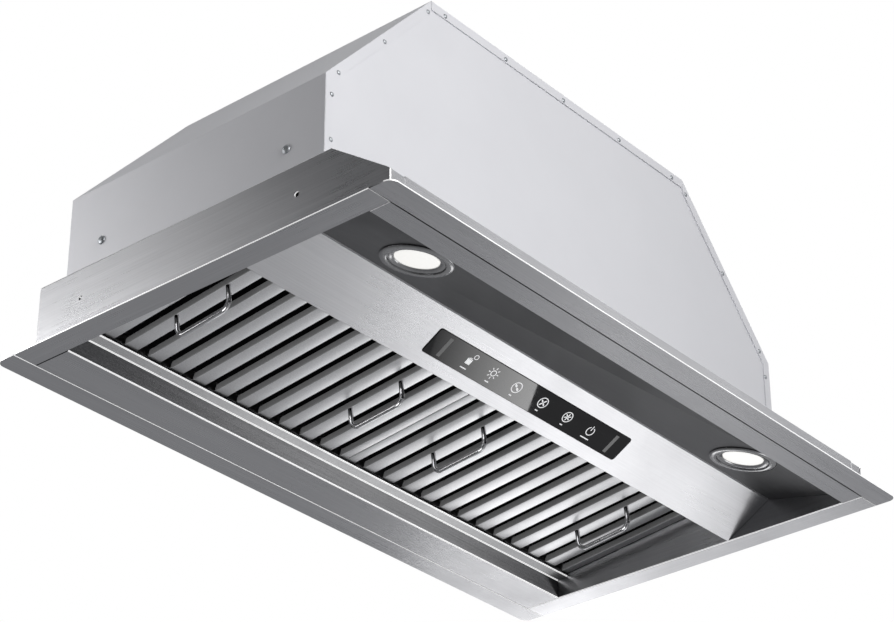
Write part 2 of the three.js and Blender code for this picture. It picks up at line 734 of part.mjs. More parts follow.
function motor() {
  return turned(
    [
      [SHAFT_R + GAP, -MOTOR_HALF_L],
      [12, -MOTOR_HALF_L],
      [16, -MOTOR_HALF_L + 3],
      [MOTOR_R - 8, -MOTOR_HALF_L + 4],
      [MOTOR_R, -MOTOR_HALF_L + 12],
      [MOTOR_R, MOTOR_HALF_L - 12],
      [MOTOR_R - 8, MOTOR_HALF_L - 4],
      [16, MOTOR_HALF_L - 3],
      [12, MOTOR_HALF_L],
      [SHAFT_R + GAP, MOTOR_HALF_L],
      [SHAFT_R + GAP, -MOTOR_HALF_L],
    ],
    24,
  );
}
piece(blower, "motor", motor(), "black_plastic").rotation.y = Math.PI / 2;
piece(blower, "motor_shaft", rod("x", SHAFT_R, -62, 62, 0, 0, 16), "chrome");

// Squirrel-cage wheel: back disc with hub, leaning blades and an end ring, axis along Z.
function impeller() {
  const disc = rod("z", IMPELLER_R, IMPELLER_IN, IMPELLER_IN + 1.6, 0, 0, 28);
  const hub = rod("z", 12, IMPELLER_IN, IMPELLER_IN + 16, 0, 0, 20);
  const ring = turned(
    [
      [IMPELLER_R - 11, IMPELLER_OUT - 2],
      [IMPELLER_R, IMPELLER_OUT - 2],
      [IMPELLER_R, IMPELLER_OUT],
      [IMPELLER_R - 11, IMPELLER_OUT],
      [IMPELLER_R - 11, IMPELLER_OUT - 2],
    ],
    28,
  );
  const blades = Array.from({ length: BLADES }, (_, i) => {
    const length = IMPELLER_OUT - IMPELLER_IN - 1.5;
    const blade = new THREE.BoxGeometry(1.2, 9, length);
    blade.rotateZ(0.6).translate(0, IMPELLER_R - 5.6, IMPELLER_IN + 0.7 + length / 2);
    return solid(blade.rotateZ((i * 2 * Math.PI) / BLADES));
  });
  const bore = rod("z", SHAFT_R + GAP, IMPELLER_IN - 5, IMPELLER_IN + 25, 0, 0, 16);
  return cut(join(disc, hub, ring, ...blades), bore);
}
piece(blower, "impeller_left", impeller(), "black_plastic").rotation.y = -Math.PI / 2;
piece(blower, "impeller_right", impeller(), "black_plastic").rotation.y = Math.PI / 2;

// Straps that hang the blower from the housing's shoulders; side is -1 or 1.
function blowerStrap(side) {
  const foot = SCROLL_HALF_W + 2 * GAP + 1.5;
  const z = HOUSING_TOP - HOUSING_SHEET - GAP - BLOWER_Z;
  const line = [
    [foot, 80],
    [foot, z],
    [foot + 50, z],
  ];
  const outline = points(mirrored(folded([...line].reverse(), SHEET).map((p) => [p.x, p.y]), side));
  return slabY(outline, 20, 60);
}
piece(blower, "blower_strap_left", blowerStrap(-1), "galvanised");
piece(blower, "blower_strap_right", blowerStrap(1), "galvanised");

// ---- Electrical box and cable entry ----------------------------------------------------------
const BOX = { x0: -325, x1: -175, y0: 150, y1: HOUSING_BACK - 3, z0: 90, z1: 150 };

function electricalBox() {
  const { x0, x1, y0, y1, z0, z1 } = BOX;
  const outside = box(x0, x1, y0, y1, z0, z1);
  const inside = box(x0 + 1, x1 - 1, y0 - 1, y1 - 1, z0 + 1, z1 - 1);
  const knockout = rod("x", 8, x1 - 3, x1 + 3, 172, 120, 20);
  return cut(outside, inside, knockout);
}

function electricalCover() {
  const { x0, x1, y0, z0, z1 } = BOX;
  return box(x0 - 2, x1 + 2, y0 - GAP - 1, y0 - GAP, z0 - 2, z1 + 2);
}

function powerBoard() {
  const { x0, x1, y1, z0, z1 } = BOX;
  const board = box(x0 + 8, x1 - 8, y1 - 8, y1 - 6, z0 + 7, z1 - 7);
  const relays = [0, 1, 2].map((i) => {
    const x = x0 + 25 + i * 40;
    return box(x, x + 18, y1 - 22, y1 - 7, z0 + 20, z0 + 38);
  });
  return join(board, ...relays);
}
piece(hood, "electrical_box", electricalBox(), "galvanised");
piece(hood, "electrical_cover", electricalCover(), "galvanised");
piece(hood, "power_board", powerBoard(), "grey_plastic");

// Motor run capacitor, standing on the electrical box.
function capacitor() {
  const can = rod("z", 15, 0, 48, 0, 0, 20);
  const terminal = rod("z", 3, 47, 54, 5, 0, 10);
  return join(can, terminal);
}
piece(hood, "capacitor", capacitor(), "grey_plastic").position.set(-250, 172, BOX.z1 + GAP);

// Cable gland in the top panel: flange, hexagonal nut and threaded stem with a through hole.
function cableGland() {
  const nut = rod("z", 14, 0, 8, 0, 0, 6);
  const stem = rod("z", 9.5, -12, 16, 0, 0, 20);
  const bore = rod("z", 5, -20, 20, 0, 0, 16);
  return cut(join(nut, stem), bore);
}
piece(hood, "cable_gland", cableGland(), "black_plastic").position.set(150, 140, HOUSING_TOP + GAP);

// ---- Duct collar and back-draft flaps --------------------------------------------------------
const collar = new THREE.Group();
collar.position.set(0, COLLAR_Y, HOUSING_TOP + GAP);
hood.add(collar);

function ductCollar() {
  const wall = turned(
    [
      [COLLAR_R - 1, 0],
      [COLLAR_R + 14, 0],
      [COLLAR_R + 14, 1.2],
      [COLLAR_R, 1.2],
      [COLLAR_R, COLLAR_H],
      [COLLAR_R - 1, COLLAR_H],
      [COLLAR_R - 1, 0],
    ],
    40,
  );
  const pinHole = rod("x", PIN_R + GAP, -COLLAR_R - 5, COLLAR_R + 5, 0, FLAP_AXIS, 12);
  return cut(wall, pinHole);
}
piece(collar, "duct_collar", ductCollar(), "galvanised");
const PIN_HALF_L = COLLAR_R + 2;
piece(collar, "damper_pin", rod("x", PIN_R, -PIN_HALF_L, PIN_HALF_L, 0, 0, 12), "chrome").position.z =
  FLAP_AXIS;

// Half-round flap with knuckles about the pin; side is -1 for the front flap, 1 for the rear one.
function damperFlap(side) {
  const clear = 4.6;
  const start = Math.asin(clear / FLAP_R);
  const shape = new THREE.Shape().absarc(0, 0, FLAP_R, start, Math.PI - start, false);
  const plate = slabZ(shape, -0.5, 0.5, [], 20);
  const knuckles = [-50, 0, 50].map((x) => {
    const middle = x + 12;
    const sleeve = rod("x", 4, middle - 6, middle + 6, 0, 0, 14);
    return join(sleeve, box(middle - 6, middle + 6, 2, clear + 2, -0.5, 0.5));
  });
  const bore = rod("x", PIN_R + GAP, -90, 90, 0, 0, 12);
  const flap = geometryOf(cut(join(plate, ...knuckles), bore));
  return solid(side < 0 ? flap.rotateZ(Math.PI) : flap);
}
piece(collar, "damper_flap_front", damperFlap(-1), "galvanised").position.z = FLAP_AXIS;
piece(collar, "damper_flap_rear", damperFlap(1), "galvanised").position.z = FLAP_AXIS;

export default hood;
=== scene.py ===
"""Looks of the range-hood insert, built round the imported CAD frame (metres, +Z up, front at -Y)."""

import json
import math

import bmesh
import bpy
from mathutils import Euler, Matrix, Vector

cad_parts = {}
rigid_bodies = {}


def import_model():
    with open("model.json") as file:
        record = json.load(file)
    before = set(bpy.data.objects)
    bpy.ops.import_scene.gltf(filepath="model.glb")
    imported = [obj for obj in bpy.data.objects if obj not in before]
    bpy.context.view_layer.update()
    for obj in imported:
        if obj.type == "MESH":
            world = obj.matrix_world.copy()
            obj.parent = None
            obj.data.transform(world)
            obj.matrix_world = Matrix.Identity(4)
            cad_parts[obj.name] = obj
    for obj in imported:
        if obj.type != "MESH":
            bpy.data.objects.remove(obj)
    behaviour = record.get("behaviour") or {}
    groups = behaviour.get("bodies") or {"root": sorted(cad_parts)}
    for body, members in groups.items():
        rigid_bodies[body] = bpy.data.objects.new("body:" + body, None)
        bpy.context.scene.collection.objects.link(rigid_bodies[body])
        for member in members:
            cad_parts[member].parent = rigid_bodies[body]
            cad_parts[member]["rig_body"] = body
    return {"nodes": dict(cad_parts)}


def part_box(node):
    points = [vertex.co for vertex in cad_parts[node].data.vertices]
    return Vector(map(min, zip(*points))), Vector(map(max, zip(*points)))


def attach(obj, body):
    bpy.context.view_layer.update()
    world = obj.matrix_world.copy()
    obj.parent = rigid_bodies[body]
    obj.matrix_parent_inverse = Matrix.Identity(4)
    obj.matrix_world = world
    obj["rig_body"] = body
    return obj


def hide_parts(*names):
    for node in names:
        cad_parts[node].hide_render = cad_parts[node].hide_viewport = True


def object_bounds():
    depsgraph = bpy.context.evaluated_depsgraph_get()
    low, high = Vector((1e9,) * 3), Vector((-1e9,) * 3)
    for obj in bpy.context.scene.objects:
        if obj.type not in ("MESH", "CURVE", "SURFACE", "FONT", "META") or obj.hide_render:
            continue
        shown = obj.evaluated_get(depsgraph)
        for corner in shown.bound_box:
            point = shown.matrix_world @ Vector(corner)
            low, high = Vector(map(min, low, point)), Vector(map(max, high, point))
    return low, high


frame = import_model()
CAD_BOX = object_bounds()

MM = 0.001
WHITE = (1, 1, 1, 1)

# ---- Camera, backdrop and light ----------------------------------------------------------------
OBJECT_CENTRE = (CAD_BOX[0] + CAD_BOX[1]) / 2
CAMERA_PLACE = (-1.6842, -1.3826, -1.1321)
CAMERA_TURN = (120.177, 0.166, -49.993)  # degrees about X, Y and Z
CAMERA_LENS = 104.66
CAMERA_SENSOR = 36.0
ROOM_LIGHT_LEFT, ROOM_LIGHT_RIGHT = 0.05, 0.40
ROOM_LIGHT_COLOUR = (0.96, 0.97, 1.0, 1)

# Name, place, what it is aimed at, width, height and radiance of each softbox.
SOFTBOXES = (
    # Housing: its front, its top and its two sides.
    ("key_front", (-0.42, -1.2, 0.35), (-0.1, -0.12, 0.2), 0.8, 0.8, 5.1),
    ("front_right", (1.6, -1.4, 1.3), OBJECT_CENTRE, 1.0, 1.0, 0.7),
    ("overhead", (0.3, 0.4, 3.6), OBJECT_CENTRE, 3.0, 3.0, 0.6),
    ("wall_left", (-0.62, 0.42, 0.04), (-0.35, 0.2, 0.10), 0.3, 0.3, 3.6),
    ("near_back_left", (-0.95, 1.25, 0.62), (-0.35, 0.2, 0.05), 0.8, 0.9, 1.0),
    ("fill_right", (3.4, 0.4, 1.4), OBJECT_CENTRE, 2.0, 2.0, 1.2),
    # Underside: most of these are where a steel face mirrors them towards the camera.
    ("near_back_right", (1.0, 0.72, -0.34), (0.3, 0.2, 0), 0.30, 0.26, 1.5),
    ("low_fascia", (0.77, -0.215, -0.70), (0.0, -0.08, 0.02), 0.50, 0.45, 1.45),
    ("low_filters", (1.046, 0.584, -0.594), (0.15, 0.06, 0.03), 0.55, 0.5, 0.8),
    ("low_front", (0.94, 0.43, -0.63), (0.0, -0.22, 0.0), 0.4, 0.3, 0.4),
    ("low_right", (1.12, 0.51, -0.42), (0.367, 0.0, 0.0), 0.5, 0.35, 0.8),
    ("low_left", (-1.5, 0.0, -1.2), (0.0, 0.06, 0.03), 1.0, 1.0, 3.3),
)


def add_camera():
    """Camera that looks up at the hood from its front left."""
    data = bpy.data.cameras.new("camera")
    data.sensor_width = CAMERA_SENSOR
    data.lens = CAMERA_LENS
    camera = bpy.data.objects.new("camera", data)
    camera.location = CAMERA_PLACE
    camera.rotation_euler = Euler([math.radians(angle) for angle in CAMERA_TURN])
    bpy.context.scene.collection.objects.link(camera)
    bpy.context.scene.camera = camera


def add_world():
    """White behind the object; the light that reaches it is grey, and brighter from the right."""
    world = bpy.data.worlds.new("studio")
    bpy.context.scene.world = world
    world.use_nodes = True
    tree = world.node_tree
    tree.nodes.clear()
    coords = tree.nodes.new("ShaderNodeTexCoord")
    parts = tree.nodes.new("ShaderNodeSeparateXYZ")
    rightward = tree.nodes.new("ShaderNodeMapRange")
    rightward.inputs["From Min"].default_value = -1.0
    rightward.inputs["From Max"].default_value = 1.0
    rightward.inputs["To Min"].default_value = ROOM_LIGHT_LEFT
    rightward.inputs["To Max"].default_value = ROOM_LIGHT_RIGHT
    seen = tree.nodes.new("ShaderNodeBackground")
    seen.inputs["Color"].default_value = WHITE
    lighting = tree.nodes.new("ShaderNodeBackground")
    lighting.inputs["Color"].default_value = ROOM_LIGHT_COLOUR
    path = tree.nodes.new("ShaderNodeLightPath")
    mix = tree.nodes.new("ShaderNodeMixShader")
    out = tree.nodes.new("ShaderNodeOutputWorld")
    tree.links.new(coords.outputs["Generated"], parts.inputs[0])
    tree.links.new(parts.outputs["X"], rightward.inputs["Value"])
    tree.links.new(rightward.outputs["Result"], lighting.inputs["Strength"])
    tree.links.new(path.outputs["Is Camera Ray"], mix.inputs["Fac"])
    tree.links.new(lighting.outputs[0], mix.inputs[1])
    tree.links.new(seen.outputs[0], mix.inputs[2])
    tree.links.new(mix.outputs[0], out.inputs["Surface"])


def area_light(name, place, width, height, radiance):
    """Rectangular light that shines along the local -Z axis of its place."""
    data = bpy.data.lights.new(name, "AREA")
    data.shape = "RECTANGLE"
    data.size = width
    data.size_y = height
    data.energy = radiance * math.pi * width * height
    light = bpy.data.objects.new(name, data)
    light.matrix_world = place
    light.visible_camera = False
    bpy.context.scene.collection.objects.link(light)
    return light


def softbox(name, location, target, width, height, radiance):
    """Area light at a place, turned towards a target."""
    away = Vector(location) - Vector(target)
    place = Matrix.Translation(location) @ away.to_track_quat("Z", "Y").to_matrix().to_4x4()
    return area_light(name, place, width, height, radiance)


def add_lights():
    for name, place, target, width, height, radiance in SOFTBOXES:
        softbox(name, place, target, width, height, radiance)


def shine_only_on(light_name, objects):
    """The named light reaches these objects and nothing else, as behind a studio flag."""
    receivers = bpy.data.collections.new(light_name + "_receivers")
    for piece in objects:
        receivers.objects.link(piece)
    bpy.data.objects[light_name].light_linking.receiver_collection = receivers


def keep_off(light_name, objects):
    """The named light reaches everything but these objects, as behind a studio flag."""
    shaded = bpy.data.collections.new(light_name + "_shaded")
    for piece in objects:
        shaded.objects.link(piece)
    for member in shaded.collection_objects:
        member.light_linking.link_state = "EXCLUDE"
    bpy.data.objects[light_name].light_linking.receiver_collection = shaded


# ---- Materials ---------------------------------------------------------------------------------
# The Mix node has one set of sockets per data type under the same names; these are its colours.
MIX_COLOUR_A, MIX_COLOUR_B, MIX_COLOUR_RESULT = 6, 7, 2


class Paint:
    """A procedural material: a Principled shader and short calls for what feeds it."""

    def __init__(self, name, **values):
        self.material = bpy.data.materials.new(name)
        self.material.use_nodes = True
        self.tree = self.material.node_tree
        self.shader = self.tree.nodes["Principled BSDF"]
        for socket, value in values.items():
            self.shader.inputs[socket.replace("_", " ")].default_value = value

    def link(self, source, socket):
        self.tree.links.new(source, self.shader.inputs[socket])

    def noise(self, stretch, detail=3.0, roughness=0.6):
        """Noise whose cells are 1/stretch metres long on each axis of the object."""
        coords = self.tree.nodes.new("ShaderNodeTexCoord")
        mapping = self.tree.nodes.new("ShaderNodeMapping")
        mapping.inputs["Scale"].default_value = stretch
        noise = self.tree.nodes.new("ShaderNodeTexNoise")
        noise.inputs["Scale"].default_value = 1.0
        noise.inputs["Detail"].default_value = detail
        noise.inputs["Roughness"].default_value = roughness
        self.tree.links.new(coords.outputs["Object"], mapping.inputs["Vector"])
        self.tree.links.new(mapping.outputs["Vector"], noise.inputs["Vector"])
        return noise.outputs["Fac"]

    def spread(self, factor, low, high, start=0.3, end=0.7):
        """A factor between start and end becomes a value between low and high."""
        node = self.tree.nodes.new("ShaderNodeMapRange")
        node.inputs["From Min"].default_value = start
        node.inputs["From Max"].default_value = end
        node.inputs["To Min"].default_value = low
        node.inputs["To Max"].default_value = high
        self.tree.links.new(factor, node.inputs["Value"])
        return node.outputs["Result"]

    def average(self, one, other, share):
        """Two factors mixed, with the given share of the other."""
        node = self.tree.nodes.new("ShaderNodeMix")
        node.inputs["Factor"].default_value = share
        self.tree.links.new(one, node.inputs["A"])
        self.tree.links.new(other, node.inputs["B"])
        return node.outputs["Result"]

    def colours(self, factor, dark, light):
        """The base colour goes from dark to light with the factor."""
        node = self.tree.nodes.new("ShaderNodeMix")
        node.data_type = "RGBA"
        node.inputs[MIX_COLOUR_A].default_value = (*dark, 1)
        node.inputs[MIX_COLOUR_B].default_value = (*light, 1)
        self.tree.links.new(factor, node.inputs["Factor"])
        self.link(node.outputs[MIX_COLOUR_RESULT], "Base Color")

    def bump(self, height, strength, distance):
        """Fine relief; the distance is its depth in metres."""
        node = self.tree.nodes.new("ShaderNodeBump")
        node.inputs["Strength"].default_value = strength
        node.inputs["Distance"].default_value = distance
        self.tree.links.new(height, node.inputs["Height"])
        self.link(node.outputs["Normal"], "Normal")


def along(axis, length, across):
    """Noise stretch for grain lines of the given length, and the given spacing across them."""
    return tuple(1 / length if a == axis else 1 / across for a in "xyz")


def brushed(name, axis, dark, light, roughness):
    """Brushed stainless steel with its grain along one axis."""
    paint = Paint(name, Metallic=1.0)
    fine = paint.noise(along(axis, 0.11, 0.0011), detail=5.0, roughness=0.75)
    band = paint.noise(along(axis, 0.5, 0.009), detail=2.0)
    smudge = paint.noise((7, 7, 7), detail=3.0)
    grain = paint.average(fine, band, 0.3)
    paint.colours(paint.spread(grain, 0, 1), dark, light)
    worn = paint.average(grain, smudge, 0.5)
    paint.link(paint.spread(worn, *roughness, 0.35, 0.65), "Roughness")
    paint.bump(fine, 0.2, 0.0004)
    return paint.material


def painted(name, dark, light, roughness, metallic):
    """Powder-coated sheet: slight orange peel, faint handling marks."""
    paint = Paint(name, Metallic=metallic)
    peel = paint.noise((420, 420, 420), detail=2.0)
    marks = paint.noise((5, 5, 5), detail=4.0)
    paint.colours(paint.spread(marks, 0, 1), dark, light)
    paint.link(paint.spread(marks, *roughness), "Roughness")
    paint.bump(peel, 0.08, 0.0004)
    return paint.material


def galvanised(name):
    """Zinc-coated sheet with soft spangle."""
    paint = Paint(name, Metallic=0.9)
    coords = paint.tree.nodes.new("ShaderNodeTexCoord")
    spangle = paint.tree.nodes.new("ShaderNodeTexVoronoi")
    spangle.inputs["Scale"].default_value = 90.0
    paint.tree.links.new(coords.outputs["Object"], spangle.inputs["Vector"])
    marks = paint.noise((14, 14, 14), detail=3.0)
    mixed = paint.average(spangle.outputs["Distance"], marks, 0.5)
    paint.colours(paint.spread(mixed, 0, 1, 0.2, 0.7), (0.36, 0.38, 0.40), (0.56, 0.58, 0.60))
    paint.link(paint.spread(mixed, 0.34, 0.55, 0.2, 0.7), "Roughness")
    paint.bump(marks, 0.05, 0.0005)
    return paint.material


def chrome(name, dark, light, roughness):
    """Bright metal with faint marks."""
    paint = Paint(name, Metallic=1.0)
    marks = paint.noise((260, 260, 260), detail=4.0)
    paint.colours(paint.spread(marks, 0, 1), dark, light)
    paint.link(paint.spread(marks, *roughness), "Roughness")
    paint.bump(marks, 0.04, 0.0002)
    return paint.material


def satin(name, dark, light, roughness, metallic, glow=0.0):
    """Steel with a fine even grain that has no direction; a glow stands for caught highlights."""
    paint = Paint(name, Metallic=metallic, Emission_Strength=glow)
    paint.shader.inputs["Emission Color"].default_value = WHITE
    grain = paint.noise((800, 800, 800), detail=3.0)
    smudge = paint.noise((9, 9, 9), detail=3.0)
    paint.colours(paint.spread(grain, 0, 1), dark, light)
    paint.link(paint.spread(smudge, *roughness), "Roughness")
    paint.bump(grain, 0.1, 0.0002)
    return paint.material


def moulded(name, dark, light, roughness):
    """Moulded plastic with a fine spark-eroded grain."""
    paint = Paint(name)
    grain = paint.noise((1400, 1400, 1400), detail=2.0)
    marks = paint.noise((40, 40, 40), detail=3.0)
    paint.colours(paint.spread(marks, 0, 1), dark, light)
    paint.link(paint.spread(marks, *roughness), "Roughness")
    paint.bump(grain, 0.15, 0.0001)
    return paint.material


def glass(name):
    """Black printed glass: glossy, with faint wiping marks."""
    paint = Paint(name, IOR=1.52)
    marks = paint.noise(along("x", 0.03, 0.006), detail=4.0)
    paint.colours(paint.spread(marks, 0, 1), (0.012, 0.012, 0.013), (0.022, 0.022, 0.023))
    paint.link(paint.spread(marks, 0.01, 0.03), "Roughness")
    return paint.material


def glowing(name, colour, strength):
    """Frosted lens lit from behind."""
    paint = Paint(name, Roughness=0.4, Emission_Strength=strength)
    frost = paint.noise((900, 900, 900), detail=2.0)
    pale = tuple(c * 0.94 for c in colour)
    paint.colours(paint.spread(frost, 0, 1), pale, colour)
    paint.shader.inputs["Emission Color"].default_value = (*colour, 1)
    paint.bump(frost, 0.1, 0.0001)
    return paint.material


def printed(name, colour):
    """Ink on the glass, lit a little from behind."""
    paint = Paint(name, Emission_Strength=0.6)
    spots = paint.noise((3000, 3000, 3000), detail=1.0)
    paint.colours(paint.spread(spots, 0, 1), tuple(c * 0.85 for c in colour), colour)
    paint.shader.inputs["Emission Color"].default_value = (*colour, 1)
    paint.link(paint.spread(spots, 0.3, 0.45), "Roughness")
    return paint.material


STEEL_DARK, STEEL_LIGHT = (0.48, 0.48, 0.495), (0.62, 0.62, 0.635)
STEEL_X = brushed("brushed_steel_x", "x", STEEL_DARK, STEEL_LIGHT, (0.22, 0.36))
STEEL_Y = brushed("brushed_steel_y", "y", STEEL_DARK, STEEL_LIGHT, (0.24, 0.38))
# A lighter copy of the brushed steel for the fascia: painted light.
FASCIA_LIT_STEEL = brushed(
    "fascia_steel_painted_light", "x", (0.62, 0.62, 0.635), (0.76, 0.76, 0.775), (0.24, 0.36)
)
# A darker copy of the brushed steel for the lamp panel: painted shade.
STEEL_SHADED = brushed(
    "shaded_steel_x", "x", (0.18, 0.18, 0.185), (0.25, 0.25, 0.255), (0.30, 0.44)
)
# Very dark steel for the gutter's wall: painted shade.
GUTTER_WALL_SHADE = brushed(
    "gutter_wall_painted_shade", "x", (0.10, 0.10, 0.102), (0.18, 0.18, 0.185), (0.14, 0.22)
)
# Near-black steel for the baffles' inner layer and the gutter's lip and edges: painted shade.
NEAR_BLACK_SHADE = brushed(
    "baffle_inner_painted_shade", "y", (0.015, 0.015, 0.016), (0.03, 0.03, 0.032), (0.5, 0.6)
)
BAFFLE_STEEL = satin(
    "baffle_steel", (0.80, 0.80, 0.81), (0.92, 0.92, 0.93), (0.30, 0.42), metallic=1.0
)
# A darker, less metallic copy of the baffle steel for the lips: painted shade.
BAFFLE_LIP_SHADE = satin(
    "baffle_lip_painted_shade", (0.42, 0.42, 0.425), (0.52, 0.52, 0.525), (0.4, 0.5), metallic=0.4
)
# A satin steel a little darker than the flange, for the gutter's ledge: painted shade.
LEDGE_SHADE_STEEL = satin(
    "ledge_painted_shade", (0.46, 0.46, 0.465), (0.58, 0.58, 0.585), (0.32, 0.44), metallic=1.0
)
# Steel a little lighter than the faces, for folds and cut edges: a mild painted highlight.
MILD_EDGE_HIGHLIGHT = satin(
    "edge_steel_mild_highlight", (0.60, 0.60, 0.61), (0.72, 0.72, 0.73), (0.3, 0.4), metallic=0.8
)
# Light steel that glows, for folds and cut edges: a painted highlight.
GLOWING_EDGE_HIGHLIGHT = satin(
    "glowing_edge_painted_highlight", (0.86, 0.86, 0.86), (0.95, 0.95, 0.95), (0.3, 0.4), metallic=0.45, glow=0.5
)
HOUSING_PAINT = painted(
    "housing_paint", (0.80, 0.80, 0.83), (0.85, 0.85, 0.88), (0.38, 0.5), metallic=0.1
)
ZINC = galvanised("zinc_sheet")
BRIGHT_WIRE = chrome("bright_wire", (0.62, 0.62, 0.63), (0.76, 0.76, 0.77), (0.10, 0.16))
BEZEL_METAL = chrome("bezel_metal", (0.38, 0.38, 0.385), (0.48, 0.48, 0.485), (0.14, 0.22))
GLASS = glass("black_glass")
LENS = glowing("lit_lens", (1.0, 0.99, 0.96), 0.7)
INK = printed("white_ink", (0.96, 0.97, 0.98))
BAR_INK = printed("grey_ink", (0.12, 0.12, 0.12))
BLACK = moulded("black_moulding", (0.015, 0.015, 0.016), (0.03, 0.03, 0.032), (0.45, 0.6))
GREY = moulded("grey_moulding", (0.11, 0.115, 0.12), (0.16, 0.165, 0.17), (0.45, 0.6))


# ---- Mesh helpers ------------------------------------------------------------------------------
def finished(name, shape, body, materials, replaces=(), smooth_angle=35):
    """Turns a bmesh into a piece that rides on a CAD body; its faces index the materials."""
    bmesh.ops.recalc_face_normals(shape, faces=shape.faces)
    mesh = bpy.data.meshes.new(name)
    shape.to_mesh(mesh)
    shape.free()
    for material in materials:
        mesh.materials.append(material)
    mesh.shade_smooth()
    mesh.set_sharp_from_angle(angle=math.radians(smooth_angle))
    piece = bpy.data.objects.new(name, mesh)
    bpy.context.scene.collection.objects.link(piece)
    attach(piece, body)
    if replaces:
        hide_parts(*replaces)
    return piece


NARROW = 0.7 * MM  # a face whose area over perimeter is less is only a sheet's thickness wide
SHARP_EDGE = math.radians(32)
FLAT_EDGE = math.radians(1)
SAME_POINT = 2e-6  # corners of the CAD's triangles that are closer than this are one
SAME_SEAM = 1e-7  # the same for the two ends of a closed lathe profile
FOLD_SEGMENTS, CUT_SEGMENTS = 3, 2
SHEET_SMOOTH_ANGLE = 14  # degrees; flatter edges than this are shaded smooth
ROUND_FOLD_STEPS = 4
WIRE_SIDES = 20
CORNER_STEPS = 6


def narrow(face):
    """Whether a face is only as wide as the sheet is thick."""
    return face.calc_area() < NARROW * face.calc_perimeter()


def sharp_edges(shape):
    return [e for e in shape.edges if e.is_manifold and e.calc_face_angle(0) > SHARP_EDGE]


def dressed(node, slot, fold_bevel, cut_bevel, *materials):
    """Copy of a CAD node's mesh with its sharp edges rounded, which stands for the node.

    A second material goes on the rounded folds and on the sheet's narrow cut edges.
    """
    source = frame["nodes"][node]
    shape = bmesh.new()
    shape.from_mesh(source.data)
    bmesh.ops.remove_doubles(shape, verts=shape.verts, dist=SAME_POINT)
    bmesh.ops.dissolve_limit(
        shape, angle_limit=FLAT_EDGE, verts=shape.verts, edges=shape.edges
    )
    folds = [e for e in sharp_edges(shape) if not any(narrow(f) for f in e.link_faces)]
    bmesh.ops.bevel(
        shape, geom=folds, offset=fold_bevel, segments=FOLD_SEGMENTS, affect="EDGES"
    )
    cuts = [e for e in sharp_edges(shape) if any(narrow(f) for f in e.link_faces)]
    bmesh.ops.bevel(
        shape, geom=cuts, offset=cut_bevel, segments=CUT_SEGMENTS, affect="EDGES",
        clamp_overlap=True,
    )
    if len(materials) > 1:
        for face in shape.faces:
            face.material_index = int(narrow(face))
    return finished(
        node + "_sheet", shape, source["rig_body"], materials, [node], SHEET_SMOOTH_ANGLE
    )


def paint_where(piece, material, test, layer=0):
    """Puts one more material on the faces of a layer that pass the test."""
    mesh = piece.data
    mesh.materials.append(material)
    for face in mesh.polygons:
        if face.material_index == layer and test(face):
            face.material_index = len(mesh.materials) - 1


def lathe(shape, profile, place, segments):
    """Adds a body of revolution about the local Z axis; the profile holds (radius, z) in mm."""
    rings = []
    for radius, z in ((r * MM, h * MM) for r, h in profile):
        if radius == 0:
            rings.append([shape.verts.new(place @ Vector((0, 0, z)))])
            continue
        ring = []
        for i in range(segments):
            angle = 2 * math.pi * i / segments
            point = Vector((radius * math.cos(angle), radius * math.sin(angle), z))
            ring.append(shape.verts.new(place @ point))
        rings.append(ring)
    for one, other in zip(rings, rings[1:]):
        for i in range(segments):
            j = (i + 1) % segments
            if len(one) == 1:
                shape.faces.new((one[0], other[i], other[j]))
            elif len(other) == 1:
                shape.faces.new((one[i], one[j], other[0]))
            else:
                shape.faces.new((one[i], one[j], other[j], other[i]))


def tube(shape, path, radius, side):
    """Adds a round bar along a flat path; side is the normal of the path's plane."""
    rings = []
    for i, point in enumerate(path):
        before = path[max(i - 1, 0)]
        after = path[min(i + 1, len(path) - 1)]
        tangent = (after - before).normalized()
        up = tangent.cross(side).normalized()
        ring = []
        for k in range(WIRE_SIDES):
            angle = 2 * math.pi * k / WIRE_SIDES
            offset = (side * math.cos(angle) + up * math.sin(angle)) * radius
            ring.append(shape.verts.new(point + offset))
        rings.append(ring)
    for one, other in zip(rings, rings[1:]):
        for k in range(WIRE_SIDES):
            j = (k + 1) % WIRE_SIDES
            shape.faces.new((one[k], one[j], other[j], other[k]))
    shape.faces.new(rings[0])
    shape.faces.new(rings[-1])


def left_of(direction):
    return Vector((-direction.y, direction.x))


def turned(vector, angle):
    """A flat vector turned to its left."""
    return Vector((
        vector.x * math.cos(angle) - vector.y * math.sin(angle),
        vector.x * math.sin(angle) + vector.y * math.cos(angle),
    ))


def fold(corners, thickness, radius):
    """Both sides of a folded sheet: the line through the corners, and that line moved to its left.

    The folds are round, and the radius is that of the outer side of each.
    """
    line = [Vector(c) for c in corners]
    first = (line[1] - line[0]).normalized()
    right, left = [line[0]], [line[0] + left_of(first) * thickness]
    for before, corner, after in zip(line, line[1:], line[2:]):
        a = (corner - before).normalized()
        b = (after - corner).normalized()
        turn = math.atan2(a.cross(b), a.dot(b))
        sign = 1 if turn > 0 else -1
        near = radius if sign > 0 else radius - thickness
        centre = corner - a * near * math.tan(abs(turn) / 2) + left_of(a) * sign * near
        for step in range(ROUND_FOLD_STEPS + 1):
            spoke = turned(left_of(a) * -sign, turn * step / ROUND_FOLD_STEPS)
            right.append(centre + spoke * near)
            left.append(centre + spoke * (near - sign * thickness))
    last = (line[-1] - line[-2]).normalized()
    right.append(line[-1])
    left.append(line[-1] + left_of(last) * thickness)
    return right, left


